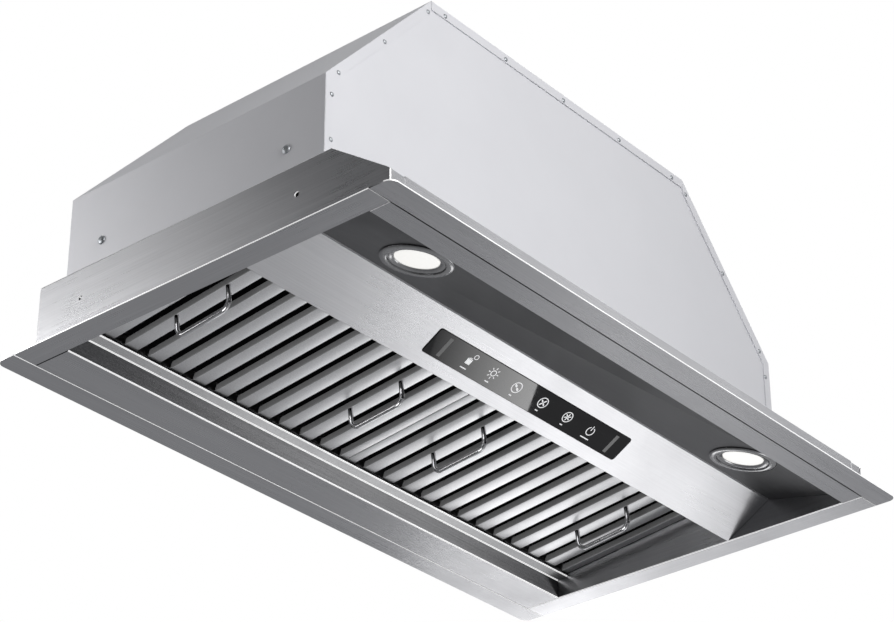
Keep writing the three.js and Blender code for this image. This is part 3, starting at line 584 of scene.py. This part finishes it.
def folded_sheet(shape, corners, thickness, radius, place, start, end, taper=0.0):
    """Adds a folded sheet drawn in (u, v) and swept from start to end; place takes (u, v, w).

    With a taper, the ends slope back as v grows.
    """
    right, left = fold(corners, thickness, radius)
    ends = []
    for w, sign in ((start, 1), (end, -1)):
        ends.append([
            [shape.verts.new(place(p.x, p.y, w + sign * taper * max(p.y, 0))) for p in side]
            for side in (right, left)
        ])
    (r0, l0), (r1, l1) = ends
    for i in range(len(r0) - 1):
        shape.faces.new((r0[i], r0[i + 1], r1[i + 1], r1[i]))
        shape.faces.new((l0[i + 1], l0[i], l1[i], l1[i + 1]))
        shape.faces.new((r0[i + 1], r0[i], l0[i], l0[i + 1]))
        shape.faces.new((r1[i], r1[i + 1], l1[i + 1], l1[i]))
    for i in (0, len(r0) - 1):
        shape.faces.new((r0[i], r1[i], l1[i], l0[i]))


def slab(shape, outline, z0, z1, place, bevel=0.0):
    """Adds a flat plate with the given (x, y) outline; its rim at z0 is bevelled if asked."""
    layers = [(z1, 0.0), (z0 + bevel, 0.0), (z0, bevel)] if bevel else [(z1, 0.0), (z0, 0.0)]
    middle = sum((Vector(p) for p in outline), Vector((0, 0))) / len(outline)
    rings = []
    for z, inset in layers:
        ring = []
        for p in outline:
            q = Vector(p)
            q.x -= math.copysign(inset, q.x - middle.x)
            q.y -= math.copysign(inset, q.y - middle.y)
            ring.append(shape.verts.new(place @ Vector((q.x, q.y, z))))
        rings.append(ring)
    for one, other in zip(rings, rings[1:]):
        for i in range(len(outline)):
            j = (i + 1) % len(outline)
            shape.faces.new((one[i], one[j], other[j], other[i]))
    shape.faces.new(rings[0])
    shape.faces.new(rings[-1])


def rounded(x0, x1, y0, y1, radius):
    """Outline of a rectangle with round corners."""
    outline = []
    corners = [(x1 - radius, y1 - radius), (x0 + radius, y1 - radius),
               (x0 + radius, y0 + radius), (x1 - radius, y0 + radius)]
    for i, (cx, cy) in enumerate(corners):
        for k in range(CORNER_STEPS + 1):
            angle = math.pi / 2 * (i + k / CORNER_STEPS)
            outline.append((cx + radius * math.cos(angle), cy + radius * math.sin(angle)))
    return outline


# ---- Folded steel and housing ------------------------------------------------------------------
# Slot, material of the faces and material of the folds and cut edges; both edge steels are lighter
# than the faces, and the glowing one is a painted highlight.
STEEL_SHEETS = {
    "flange_front": ("brushed_steel", STEEL_X, MILD_EDGE_HIGHLIGHT),
    "skirt_rear": ("brushed_steel", STEEL_X, GLOWING_EDGE_HIGHLIGHT),
    "skirt_left": ("brushed_steel", STEEL_Y, GLOWING_EDGE_HIGHLIGHT),
    "skirt_right": ("brushed_steel", STEEL_Y, GLOWING_EDGE_HIGHLIGHT),
    "control_fascia": ("brushed_steel", FASCIA_LIT_STEEL, MILD_EDGE_HIGHLIGHT),
    "rear_gutter": ("brushed_steel", STEEL_X, GLOWING_EDGE_HIGHLIGHT),
    "lamp_panel": ("shaded_steel", STEEL_SHADED, MILD_EDGE_HIGHLIGHT),
}
STEEL_FOLD, STEEL_CUT = 0.9 * MM, 0.5 * MM
HOUSING_SHEETS = ("left", "right", "top", "front", "back")
HOUSING_FOLD, HOUSING_CUT = 0.4 * MM, 0.3 * MM
BAND_FRONT_IN = -187.5 * MM  # the lamp panel is bright in front of this line
LEDGE_LOW, LEDGE_TOP = 15 * MM, 22.5 * MM  # the gutter's ledge is between these heights
FRONT_RIM = -225 * MM  # the flange's outer cut edge is in front of this line
GUTTER_END = 350 * MM  # the gutter's end edges are outside this distance from the middle
FACING = 0.9  # least part of a face's normal that counts as facing a direction
EDGE_LAYER = 1  # material index of a dressed sheet's folds and cut edges

STAYING_NODES = (
    (ZINC, (
        "front_shelf", "filter_rail", "lamp_left_body", "lamp_right_body", "blower_scroll",
        "blower_inlet_left", "blower_inlet_right", "motor_plate", "blower_strap_left",
        "blower_strap_right", "electrical_box", "electrical_cover", "duct_collar",
        "damper_flap_front", "damper_flap_rear",
    )),
    (BLACK, ("touch_board_box", "motor", "impeller_left", "impeller_right", "cable_gland")),
    (GREY, ("capacitor", "power_board")),
    (BRIGHT_WIRE, ("motor_shaft", "damper_pin")),
    # The baffles' inner layer, seen through the slots, gets the near-black steel: painted shade.
    (NEAR_BLACK_SHADE, ("filter_left_baffle", "filter_right_baffle")),
)


def repaint(node, material):
    """Gives a CAD node that stays visible one material."""
    source = frame["nodes"][node]
    if source.data.materials:
        for i in range(len(source.data.materials)):
            source.data.materials[i] = material
    else:
        source.data.materials.append(material)


def dress_sheets():
    for node, (slot, face_steel, edge_steel) in STEEL_SHEETS.items():
        dressed(node, slot, STEEL_FOLD, STEEL_CUT, face_steel, edge_steel)
    for side in HOUSING_SHEETS:
        dressed("housing_" + side, "painted_housing", HOUSING_FOLD, HOUSING_CUT, HOUSING_PAINT)


def paint_flange(flange):
    """The outer cut edge gets the glowing edge steel: a painted highlight."""
    paint_where(flange, GLOWING_EDGE_HIGHLIGHT, lambda face: face.center.y < FRONT_RIM, EDGE_LAYER)


def paint_lamp_panel(panel):
    """The panel's front band is as bright as the flange; the rest keeps the darker steel, which is
    painted shade.
    """
    paint_where(panel, STEEL_X, lambda face: face.center.y < BAND_FRONT_IN)


def paint_gutter(gutter):
    """Painted shade: a near-black lip, top edges and end edges, a dark wall, and a grey ledge between
    them a little darker than the flange.
    """

    def on_ledge(face):
        return face.center.z > LEDGE_LOW

    def faces_front(face):
        return face.normal.y < -FACING

    paint_where(gutter, NEAR_BLACK_SHADE, lambda face: faces_front(face) and on_ledge(face))
    paint_where(gutter, NEAR_BLACK_SHADE, lambda face: face.center.z > LEDGE_TOP, EDGE_LAYER)
    paint_where(gutter, NEAR_BLACK_SHADE, lambda face: abs(face.center.x) > GUTTER_END, EDGE_LAYER)
    paint_where(gutter, LEDGE_SHADE_STEEL, on_ledge)
    paint_where(gutter, GUTTER_WALL_SHADE, faces_front)


# ---- Filters -----------------------------------------------------------------------------------
FILTER_TILT = math.radians(6.5)
FILTER_W = 353.6 * MM
FILTER_D = 202 * MM
FILTER_H = 14 * MM
SLOT_COUNT = 12
SLOT_PITCH = 29.02 * MM
SLOT_W = 13.6 * MM
SLOT_FIRST = 11.2 * MM
SLOT_Y0 = 5 * MM
SLOT_Y1 = 200 * MM
BAFFLE_SHEET = 0.8 * MM
BAFFLE_LIP = 6.5 * MM
BAFFLE_FOLD = 0.9 * MM
LIP_SLANT = 0.5  # how far a lip's end slopes back for its height
END_FOLD = 0.4 * MM  # the tray's front fold is sharper than the others
LIP_FACING = 0.8  # a face whose normal points this much sideways belongs to a lip
HANDLE_SLOTS = (1, 9)  # each handle is on the strip right of this slot, counted from 0
HANDLE_X = 2 * MM
HANDLE_Y = 71 * MM
HANDLE_SPAN = 64 * MM
HANDLE_DROP = 23 * MM
HANDLE_WIRE = 2.4 * MM  # radius of the wire
HANDLE_BEND = 9 * MM
HANDLE_FOOT = 0.3 * MM  # the wire's ends are this far below the face
HANDLE_STRAIGHT = 0.4  # share of the drop at which the straight legs have their middle point
BEND_STEPS = 8


def filter_frame(side):
    """Local frame of a filter: x from its left edge, y from its front edge, z up from its face."""
    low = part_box(f"filter_{side}_tray")[0]
    corner = Vector((low.x, low.y, low.z + FILTER_D * math.sin(FILTER_TILT)))
    return Matrix.Translation(corner) @ Matrix.Rotation(-FILTER_TILT, 4, "X")


def filter_tray(side):
    """Lower baffle layer: folded strips with sloping lip ends, between two end strips."""
    shape = bmesh.new()
    local = filter_frame(side)

    def across(u, v, w):
        """Sections drawn across the filter, swept from its front to its rear."""
        return local @ Vector((u, w, v))

    def lengthwise(u, v, w):
        """Sections drawn from front to rear, swept across the filter."""
        return local @ Vector((w, u, v))

    edges = [0.0]
    for i in range(SLOT_COUNT):
        start = SLOT_FIRST + i * SLOT_PITCH
        edges += [start, start + SLOT_W]
    edges.append(FILTER_W)
    faces = list(zip(edges[::2], edges[1::2]))
    for i, (x0, x1) in enumerate(faces):
        left_height = FILTER_H if i == 0 else BAFFLE_LIP
        right_height = FILTER_H if i == len(faces) - 1 else BAFFLE_LIP
        line = [(x0, left_height), (x0, 0), (x1, 0), (x1, right_height)]
        folded_sheet(shape, line, BAFFLE_SHEET, BAFFLE_FOLD, across, SLOT_Y0, SLOT_Y1, LIP_SLANT)
    front = [(SLOT_Y0, 0), (0, 0), (0, FILTER_H)]
    folded_sheet(shape, front, -BAFFLE_SHEET, END_FOLD, lengthwise, 0, FILTER_W)
    rear = [(SLOT_Y1, 0), (FILTER_D, 0), (FILTER_D, FILTER_H)]
    folded_sheet(shape, rear, BAFFLE_SHEET, BAFFLE_FOLD, lengthwise, 0, FILTER_W)
    for face in shape.faces:
        face.normal_update()
        # The lips get the darker lip steel: painted shade.
        face.material_index = int(abs(face.normal.x) > LIP_FACING)
    return finished(
        f"filter_{side}_front_layer", shape, f"filter_{side}",
        (BAFFLE_STEEL, BAFFLE_LIP_SHADE), [f"filter_{side}_tray"],
    )


def filter_handle(side, number, slot):
    """Bent wire handle that hangs below a strip of the filter."""
    shape = bmesh.new()
    local = filter_frame(side)
    x = SLOT_FIRST + slot * SLOT_PITCH + SLOT_W + HANDLE_X
    y0 = HANDLE_Y
    y1 = y0 + HANDLE_SPAN
    leg = -HANDLE_DROP * HANDLE_STRAIGHT
    bottom = -HANDLE_DROP + HANDLE_BEND
    path = [Vector((x, y0, -HANDLE_FOOT)), Vector((x, y0, leg))]
    for centre, first in ((y0 + HANDLE_BEND, math.pi), (y1 - HANDLE_BEND, -math.pi / 2)):
        for k in range(BEND_STEPS + 1):
            angle = first + math.pi / 2 * k / BEND_STEPS
            y = centre + HANDLE_BEND * math.cos(angle)
            path.append(Vector((x, y, bottom + HANDLE_BEND * math.sin(angle))))
    path += [Vector((x, y1, leg)), Vector((x, y1, -HANDLE_FOOT))]
    axis = (local.to_3x3() @ Vector((1, 0, 0))).normalized()
    tube(shape, [local @ p for p in path], HANDLE_WIRE, axis)
    return finished(
        f"filter_{side}_wire_{number}", shape, f"filter_{side}",
        (BRIGHT_WIRE,), [f"filter_{side}_handle_{number}"],
    )


# ---- Lamps -------------------------------------------------------------------------------------
LAMP_SLOPE = math.atan2(20, 84.7)  # the lamp panel's rise over its depth
LENS_MIDDLE = 1.8 * MM  # from the panel's face up to the middle of the lens
LAMP_SEGMENTS = 96

# Radius and height over the panel's face in mm; below the face is negative.
BEZEL_PROFILE = (
    (20.4, 2.6), (20.4, 0.8), (20.9, 0.2), (22.9, -0.5), (24.5, -0.9), (24.9, -0.9),
    (25.3, -0.2), (25.6, -0.2), (26.1, -1.9), (26.6, -2.2), (29.8, -2.2), (31.9, -1.9),
    (33.0, -1.2), (33.2, -0.8), (33.2, -0.3), (27.0, -0.3), (27.0, 2.6), (20.4, 2.6),
)
LENS_PROFILE = (
    (0, 0.7), (11, 0.72), (18, 0.85), (19.8, 1.1), (20.1, 1.5), (20.1, 2.6), (0, 2.6),
)


def lamp_frame(side):
    """Local frame of a lamp: z up from the lamp panel's lower face."""
    low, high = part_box(f"lamp_{side}_lens")
    middle = (low + high) / 2
    turn = Matrix.Rotation(LAMP_SLOPE, 4, "X")
    return Matrix.Translation(middle) @ turn @ Matrix.Translation((0, 0, -LENS_MIDDLE))


def lamp_bezel(side):
    """Stepped metal ring round the lens."""
    shape = bmesh.new()
    lathe(shape, BEZEL_PROFILE, lamp_frame(side), LAMP_SEGMENTS)
    bmesh.ops.remove_doubles(shape, verts=shape.verts, dist=SAME_SEAM)
    replaced = [f"lamp_{side}_bezel"]
    finished(f"lamp_{side}_ring", shape, "hood", (BEZEL_METAL,), replaced)


def lamp_lens(side):
    """Slightly domed frosted disc."""
    shape = bmesh.new()
    lathe(shape, LENS_PROFILE, lamp_frame(side), LAMP_SEGMENTS)
    finished(f"lamp_{side}_disc", shape, "hood", (LENS,), [f"lamp_{side}_lens"])


# ---- Touch glass -------------------------------------------------------------------------------
FASCIA_SLOPE = math.atan2(31, 53.6)  # the fascia's rise over its depth
GLASS_TOP = 19 * MM
GLASS_H = 28.3 * MM
GLASS_HALF_W = 142.5 * MM
GLASS_FACE = -0.7 * MM
GLASS_BACK = 1.2 * MM
GLASS_CORNER = 2.7 * MM
GLASS_BEVEL = 0.35 * MM
INK_FACE = GLASS_FACE - 0.12 * MM
INK_BACK = GLASS_FACE + 0.02 * MM

# The reflected light ends along a slanting line across the glass.
GLOSS_END_TOP, GLOSS_END_LOW = -5 * MM, 10 * MM
GLOSS_BRIGHT, GLOSS_DIM = 5.6, 0.3
GLOSS_BEYOND = 1.5  # distance of the light over the distance of the glass, from the mirrored eye
GLOSS_LENGTH = 0.9  # size of the light along the line where it ends

SYMBOL_Y = 32 * MM
SYMBOL_R = 5.6 * MM
STROKE = 0.9 * MM
RING_STEPS = 40
PETAL_STEPS = 12
HAND_X, LAMP_X, POWER_X = -90.4 * MM, -56.8 * MM, 90.7 * MM
FANS = ((-22.2 * MM, 2), (16.9 * MM, 4), (54.5 * MM, 6))  # place and number of blades
DASH_Y = SYMBOL_Y + 9.6 * MM
DASH_W = 1.1 * MM
# Middle and half length of the dash under each symbol.
DASHES = (
    (HAND_X, 4.0 * MM), (LAMP_X, 2.6 * MM), (FANS[0][0], 1.8 * MM),
    (FANS[1][0], 1.8 * MM), (FANS[2][0], 1.8 * MM), (POWER_X, 6.0 * MM),
)
SENSOR_X = 124 * MM
SENSOR_TOP, SENSOR_LOW = 22.8 * MM, 44.0 * MM
SENSOR_W = 4.4 * MM


def fascia_frame():
    """Local frame of the fascia: x along it, y down the slope from its ridge, z into the hood."""
    low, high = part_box("touch_glass")
    turn = Matrix.Rotation(-FASCIA_SLOPE, 4, "X")
    offset = Vector((0, GLASS_TOP + GLASS_H / 2, (GLASS_BACK + GLASS_FACE) / 2))
    return Matrix.Translation((low + high) / 2) @ turn @ Matrix.Translation(-offset)


FASCIA = fascia_frame()


def glass_gloss(plate):
    """Softbox whose reflection fills the left half of the glass; it lights nothing else.

    Its place follows from the camera's mirror image in the glass: it is a plain area light,
    bright at its right-hand edge and dark at the left.
    """
    normal = (FASCIA.to_3x3() @ Vector((0, 0, 1))).normalized()
    on_glass = FASCIA @ Vector((0, 0, GLASS_FACE))
    eye = bpy.context.scene.camera.location
    mirrored = eye - 2 * (eye - on_glass).dot(normal) * normal

    def seen(x, y):
        """The point behind the glass that is seen at a place on it."""
        point = FASCIA @ Vector((x, y, GLASS_FACE))
        return mirrored + (point - mirrored) * GLOSS_BEYOND

    top = seen(GLOSS_END_TOP, GLASS_TOP)
    low = seen(GLOSS_END_LOW, GLASS_TOP + GLASS_H)
    left_end = seen(-GLASS_HALF_W, GLASS_TOP + GLASS_H / 2)
    middle = (top + low) / 2
    up = (top - low).normalized()
    out = (middle - on_glass).normalized()
    across = up.cross(out).normalized()
    back = across.cross(up)
    leftward = (left_end - middle).dot(across)
    centre = middle + across * leftward / 2
    turn = Matrix((across, up, back)).transposed().to_4x4()
    place = Matrix.Translation(centre) @ turn
    light = area_light("glass_gloss", place, abs(leftward), GLOSS_LENGTH, 1.0)
    shine_only_on(light.name, [plate])
    if leftward > 0:
        fade_across(light, GLOSS_BRIGHT, GLOSS_DIM)
    else:
        fade_across(light, GLOSS_DIM, GLOSS_BRIGHT)


def fade_across(light, start, end):
    """The light's strength goes from start to end over its width."""
    light.data.use_nodes = True
    tree = light.data.node_tree
    emission = next(n for n in tree.nodes if n.type == "EMISSION")
    where = tree.nodes.new("ShaderNodeNewGeometry")
    parts = tree.nodes.new("ShaderNodeSeparateXYZ")
    ramp = tree.nodes.new("ShaderNodeMapRange")
    ramp.inputs["To Min"].default_value = start
    ramp.inputs["To Max"].default_value = end
    tree.links.new(where.outputs["Parametric"], parts.inputs[0])
    tree.links.new(parts.outputs["X"], ramp.inputs["Value"])
    tree.links.new(ramp.outputs["Result"], emission.inputs["Strength"])


def touch_glass():
    """Flat black plate with small round corners and a bevelled rim."""
    shape = bmesh.new()
    outline = rounded(
        -GLASS_HALF_W, GLASS_HALF_W, GLASS_TOP, GLASS_TOP + GLASS_H, GLASS_CORNER
    )
    slab(shape, outline, GLASS_FACE, GLASS_BACK, FASCIA, GLASS_BEVEL)
    plate = finished("touch_glass_plate", shape, "hood", (GLASS,), ["touch_glass"])
    glass_gloss(plate)
    return plate


def ring(shape, x, y, radius, width, start=0.0, end=2 * math.pi):
    """Adds a printed ring or arc on the glass."""
    closed = end - start > 2 * math.pi - 0.01
    count = RING_STEPS if closed else RING_STEPS + 1
    inner, outer = radius - width / 2, radius + width / 2
    section = ((inner, INK_BACK), (inner, INK_FACE), (outer, INK_FACE), (outer, INK_BACK))
    rows = []
    for i in range(count):
        angle = start + (end - start) * i / RING_STEPS
        c, s = math.cos(angle), math.sin(angle)
        rows.append([
            shape.verts.new(FASCIA @ Vector((x + c * r, y + s * r, z))) for r, z in section
        ])
    for i in range(count if closed else count - 1):
        one, other = rows[i], rows[(i + 1) % count]
        for k in range(len(section)):
            j = (k + 1) % len(section)
            shape.faces.new((one[k], one[j], other[j], other[k]))
    if not closed:
        shape.faces.new(rows[0])
        shape.faces.new(rows[-1])


def bar(shape, x0, y0, x1, y1, width):
    """Adds a printed straight stroke on the glass."""
    direction = Vector((x1 - x0, y1 - y0)).normalized()
    side = left_of(direction) * width / 2
    a, b = Vector((x0, y0)), Vector((x1, y1))
    outline = [a + side, a - side, b - side, b + side]
    slab(shape, outline, INK_FACE, INK_BACK, FASCIA)


def petal(shape, x, y, angle, length, width):
    """Adds a printed fan blade: a leaf from the centre outwards."""
    outline = []
    for k in range(PETAL_STEPS):
        # From 8 to 96 percent of the given length.
        t = 2 * math.pi * k / PETAL_STEPS
        u = length * (0.52 + 0.44 * math.cos(t))
        v = width / 2 * math.sin(t)
        point = turned(Vector((u, v)), angle)
        outline.append((x + point.x, y + point.y))
    slab(shape, outline, INK_FACE, INK_BACK, FASCIA)


def fan_symbol(shape, x, blades):
    """Ring with fan blades; each speed has more of them."""
    ring(shape, x, SYMBOL_Y, SYMBOL_R, STROKE)
    first_angle = 0.6
    length = SYMBOL_R * 0.82
    width = 10 * MM / (blades + 2.5)  # narrower the more blades there are
    for k in range(blades):
        angle = first_angle + 2 * math.pi * k / blades
        petal(shape, x, SYMBOL_Y, angle, length, width)


def lamp_symbol(shape, x):
    """Ring with eight rays."""
    y = SYMBOL_Y - 0.6 * MM
    ray_start, ray_end = 4.4 * MM, 6.6 * MM
    ring(shape, x, y, 2.9 * MM, STROKE)
    for k in range(8):
        angle = math.pi * k / 4
        c, s = math.cos(angle), math.sin(angle)
        bar(shape, x + ray_start * c, y + ray_start * s, x + ray_end * c, y + ray_end * s, STROKE)


def hand_symbol(shape, x):
    """Palm with four fingers, and a small ring beside the fingertips."""
    y = SYMBOL_Y + 1.4 * MM
    finger_pitch, finger_width = 1.7 * MM, 1.1 * MM
    for k, length in enumerate((3.2, 4.2, 4.2, 3.2)):
        finger = x + (k - 1.5) * finger_pitch
        bar(shape, finger, y - 1 * MM, finger, y - length * MM, finger_width)
    palm_width = 6.2 * MM
    bar(shape, x, y - 1.4 * MM, x, y + 3.2 * MM, palm_width)
    ring(shape, x + 4.2 * MM, y - 7 * MM, 2.3 * MM, 0.7 * MM)


def power_symbol(shape, x):
    """Open ring with a stroke through its gap."""
    gap = 0.5
    ring(shape, x, SYMBOL_Y + 0.8 * MM, 4.6 * MM, STROKE, -math.pi / 2 + gap, 1.5 * math.pi - gap)
    bar(shape, x, SYMBOL_Y - 5.4 * MM, x, SYMBOL_Y + 0.2 * MM, STROKE)


def touch_symbols():
    """Generic pictograms: hand, lamp, three fan speeds and power, each over a short dash."""
    shape = bmesh.new()
    hand_symbol(shape, HAND_X)
    lamp_symbol(shape, LAMP_X)
    for x, blades in FANS:
        fan_symbol(shape, x, blades)
    power_symbol(shape, POWER_X)
    for x, half in DASHES:
        bar(shape, x - half, DASH_Y, x + half, DASH_Y, DASH_W)
    finished("touch_symbols", shape, "hood", (INK,))
    bars = bmesh.new()
    for x in (-SENSOR_X, SENSOR_X):
        bar(bars, x, SENSOR_TOP, x, SENSOR_LOW, SENSOR_W)
    finished("touch_sensor_bars", bars, "hood", (BAR_INK,))


# ---- Screws and rivets -------------------------------------------------------------------------
# Distance from the middle and height of the rivets down each side, in mm.
SIDE_RIVETS = ((333, 157), (325, 184), (265, 250.5), (205, 318), (333, 110), (333, 60))
TOP_RIVETS = (-180, -90, 0, 91, 181)
TOP_RIVET_Z = 327
RIVET_PROFILE = ((0, 1.3), (0.9, 1.2), (1.8, 0.8), (2.4, 0.2), (2.5, 0), (0, 0))
RIVET_SEGMENTS = 16

WALL_FACE = 341.3 * MM  # outer face of the housing's side walls, from the middle
HEAD_PROFILE = (
    (0, 1.2), (1.1, 1.3), (1.5, 2.25), (2.6, 2.0), (3.7, 1.4), (4.4, 0.4), (4.5, 0),
    (1.9, 0), (1.9, -7), (0, -7),
)
HEAD_SEGMENTS = 32
RECESS_TURN = 0.4  # radians
RECESS_HALF_LENGTH, RECESS_HALF_WIDTH = 1.7 * MM, 0.3 * MM
RECESS_FLOOR, RECESS_TOP = 1.25 * MM, 2.0 * MM


def seam_rivets(name, node, toward):
    """Domed rivets through the seam flange of the housing's front or back."""
    low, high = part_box(node)
    y = low.y if toward < 0 else high.y
    places = [(sign * x, z) for x, z in SIDE_RIVETS for sign in (-1, 1)]
    places += [(x, TOP_RIVET_Z) for x in TOP_RIVETS]
    shape = bmesh.new()
    turn = Matrix.Rotation(-toward * math.pi / 2, 4, "X")
    for x, z in places:
        place = Matrix.Translation((x * MM, y, z * MM)) @ turn
        lathe(shape, RIVET_PROFILE, place, RIVET_SEGMENTS)
    finished(name, shape, "hood", (ZINC,))


def cross_screw(node):
    """Pan-head screw with a cross in its head."""
    low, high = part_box(node)
    middle = (low + high) / 2
    sign = math.copysign(1, middle.x)
    turn = Matrix.Rotation(sign * math.pi / 2, 4, "Y")
    place = Matrix.Translation((sign * WALL_FACE, middle.y, middle.z)) @ turn
    shape = bmesh.new()
    lathe(shape, HEAD_PROFILE, place, HEAD_SEGMENTS)
    x, y = RECESS_HALF_LENGTH, RECESS_HALF_WIDTH
    outline = [(-x, -y), (x, -y), (x, y), (-x, y)]
    for quarter in (0, math.pi / 2):
        blade = place @ Matrix.Rotation(quarter + RECESS_TURN, 4, "Z")
        slab(shape, outline, RECESS_FLOOR, RECESS_TOP, blade)
    finished(node + "_head", shape, "hood", (ZINC,), [node])


# ---- Floor -------------------------------------------------------------------------------------
FLOOR_HALF, FLOOR_Z = 60.0, -4.8


def add_floor():
    """Plain pale floor, far enough below the hood for a camera that looks up at it."""
    data = bpy.data.meshes.new("floor")
    half = FLOOR_HALF
    outline = ((-half, -half), (half, -half), (half, half), (-half, half))
    corners = [(x, y, FLOOR_Z) for x, y in outline]
    data.from_pydata(corners, [], [(0, 1, 2, 3)])
    floor = bpy.data.objects.new("floor", data)
    paint = Paint("floor_paint", Roughness=0.9, Emission_Strength=0.45)
    marks = paint.noise((0.8, 0.8, 0.8), detail=3.0)
    paint.colours(paint.spread(marks, 0, 1), (0.80, 0.80, 0.80), (0.84, 0.84, 0.84))
    paint.shader.inputs["Emission Color"].default_value = WHITE
    data.materials.append(paint.material)
    bpy.context.scene.collection.objects.link(floor)
    floor.visible_diffuse = False
    floor.visible_glossy = False


# ---- Everything together -----------------------------------------------------------------------
bpy.context.scene.view_settings.view_transform = "Standard"
add_camera()
add_world()
add_lights()
add_floor()

dress_sheets()
flange_sheet = bpy.data.objects["flange_front_sheet"]
lamp_sheet = bpy.data.objects["lamp_panel_sheet"]
right_sheet = bpy.data.objects["skirt_right_sheet"]
paint_flange(flange_sheet)
paint_lamp_panel(lamp_sheet)
paint_gutter(bpy.data.objects["rear_gutter_sheet"])
for material, nodes in STAYING_NODES:
    for node in nodes:
        repaint(node, material)

filters = [frame["nodes"][f"filter_{side}_baffle"] for side in ("left", "right")]
for side in ("left", "right"):
    filters.append(filter_tray(side))
    for number, slot in enumerate(HANDLE_SLOTS, 1):
        filters.append(filter_handle(side, number, slot))
    lamp_bezel(side)
    lamp_lens(side)
    for end in ("front", "rear"):
        cross_screw(f"wall_screw_{side}_{end}")
glass_plate = touch_glass()
touch_symbols()
seam_rivets("seam_rivets_front", "housing_left", -1)
seam_rivets("seam_rivets_back", "housing_left", 1)

shine_only_on("low_filters", filters)
shine_only_on("low_left", filters)
shine_only_on("low_front", [lamp_sheet, flange_sheet])
shine_only_on("low_right", [right_sheet])
keep_off("low_fascia", [glass_plate])
keep_off("near_back_right", [glass_plate, lamp_sheet])
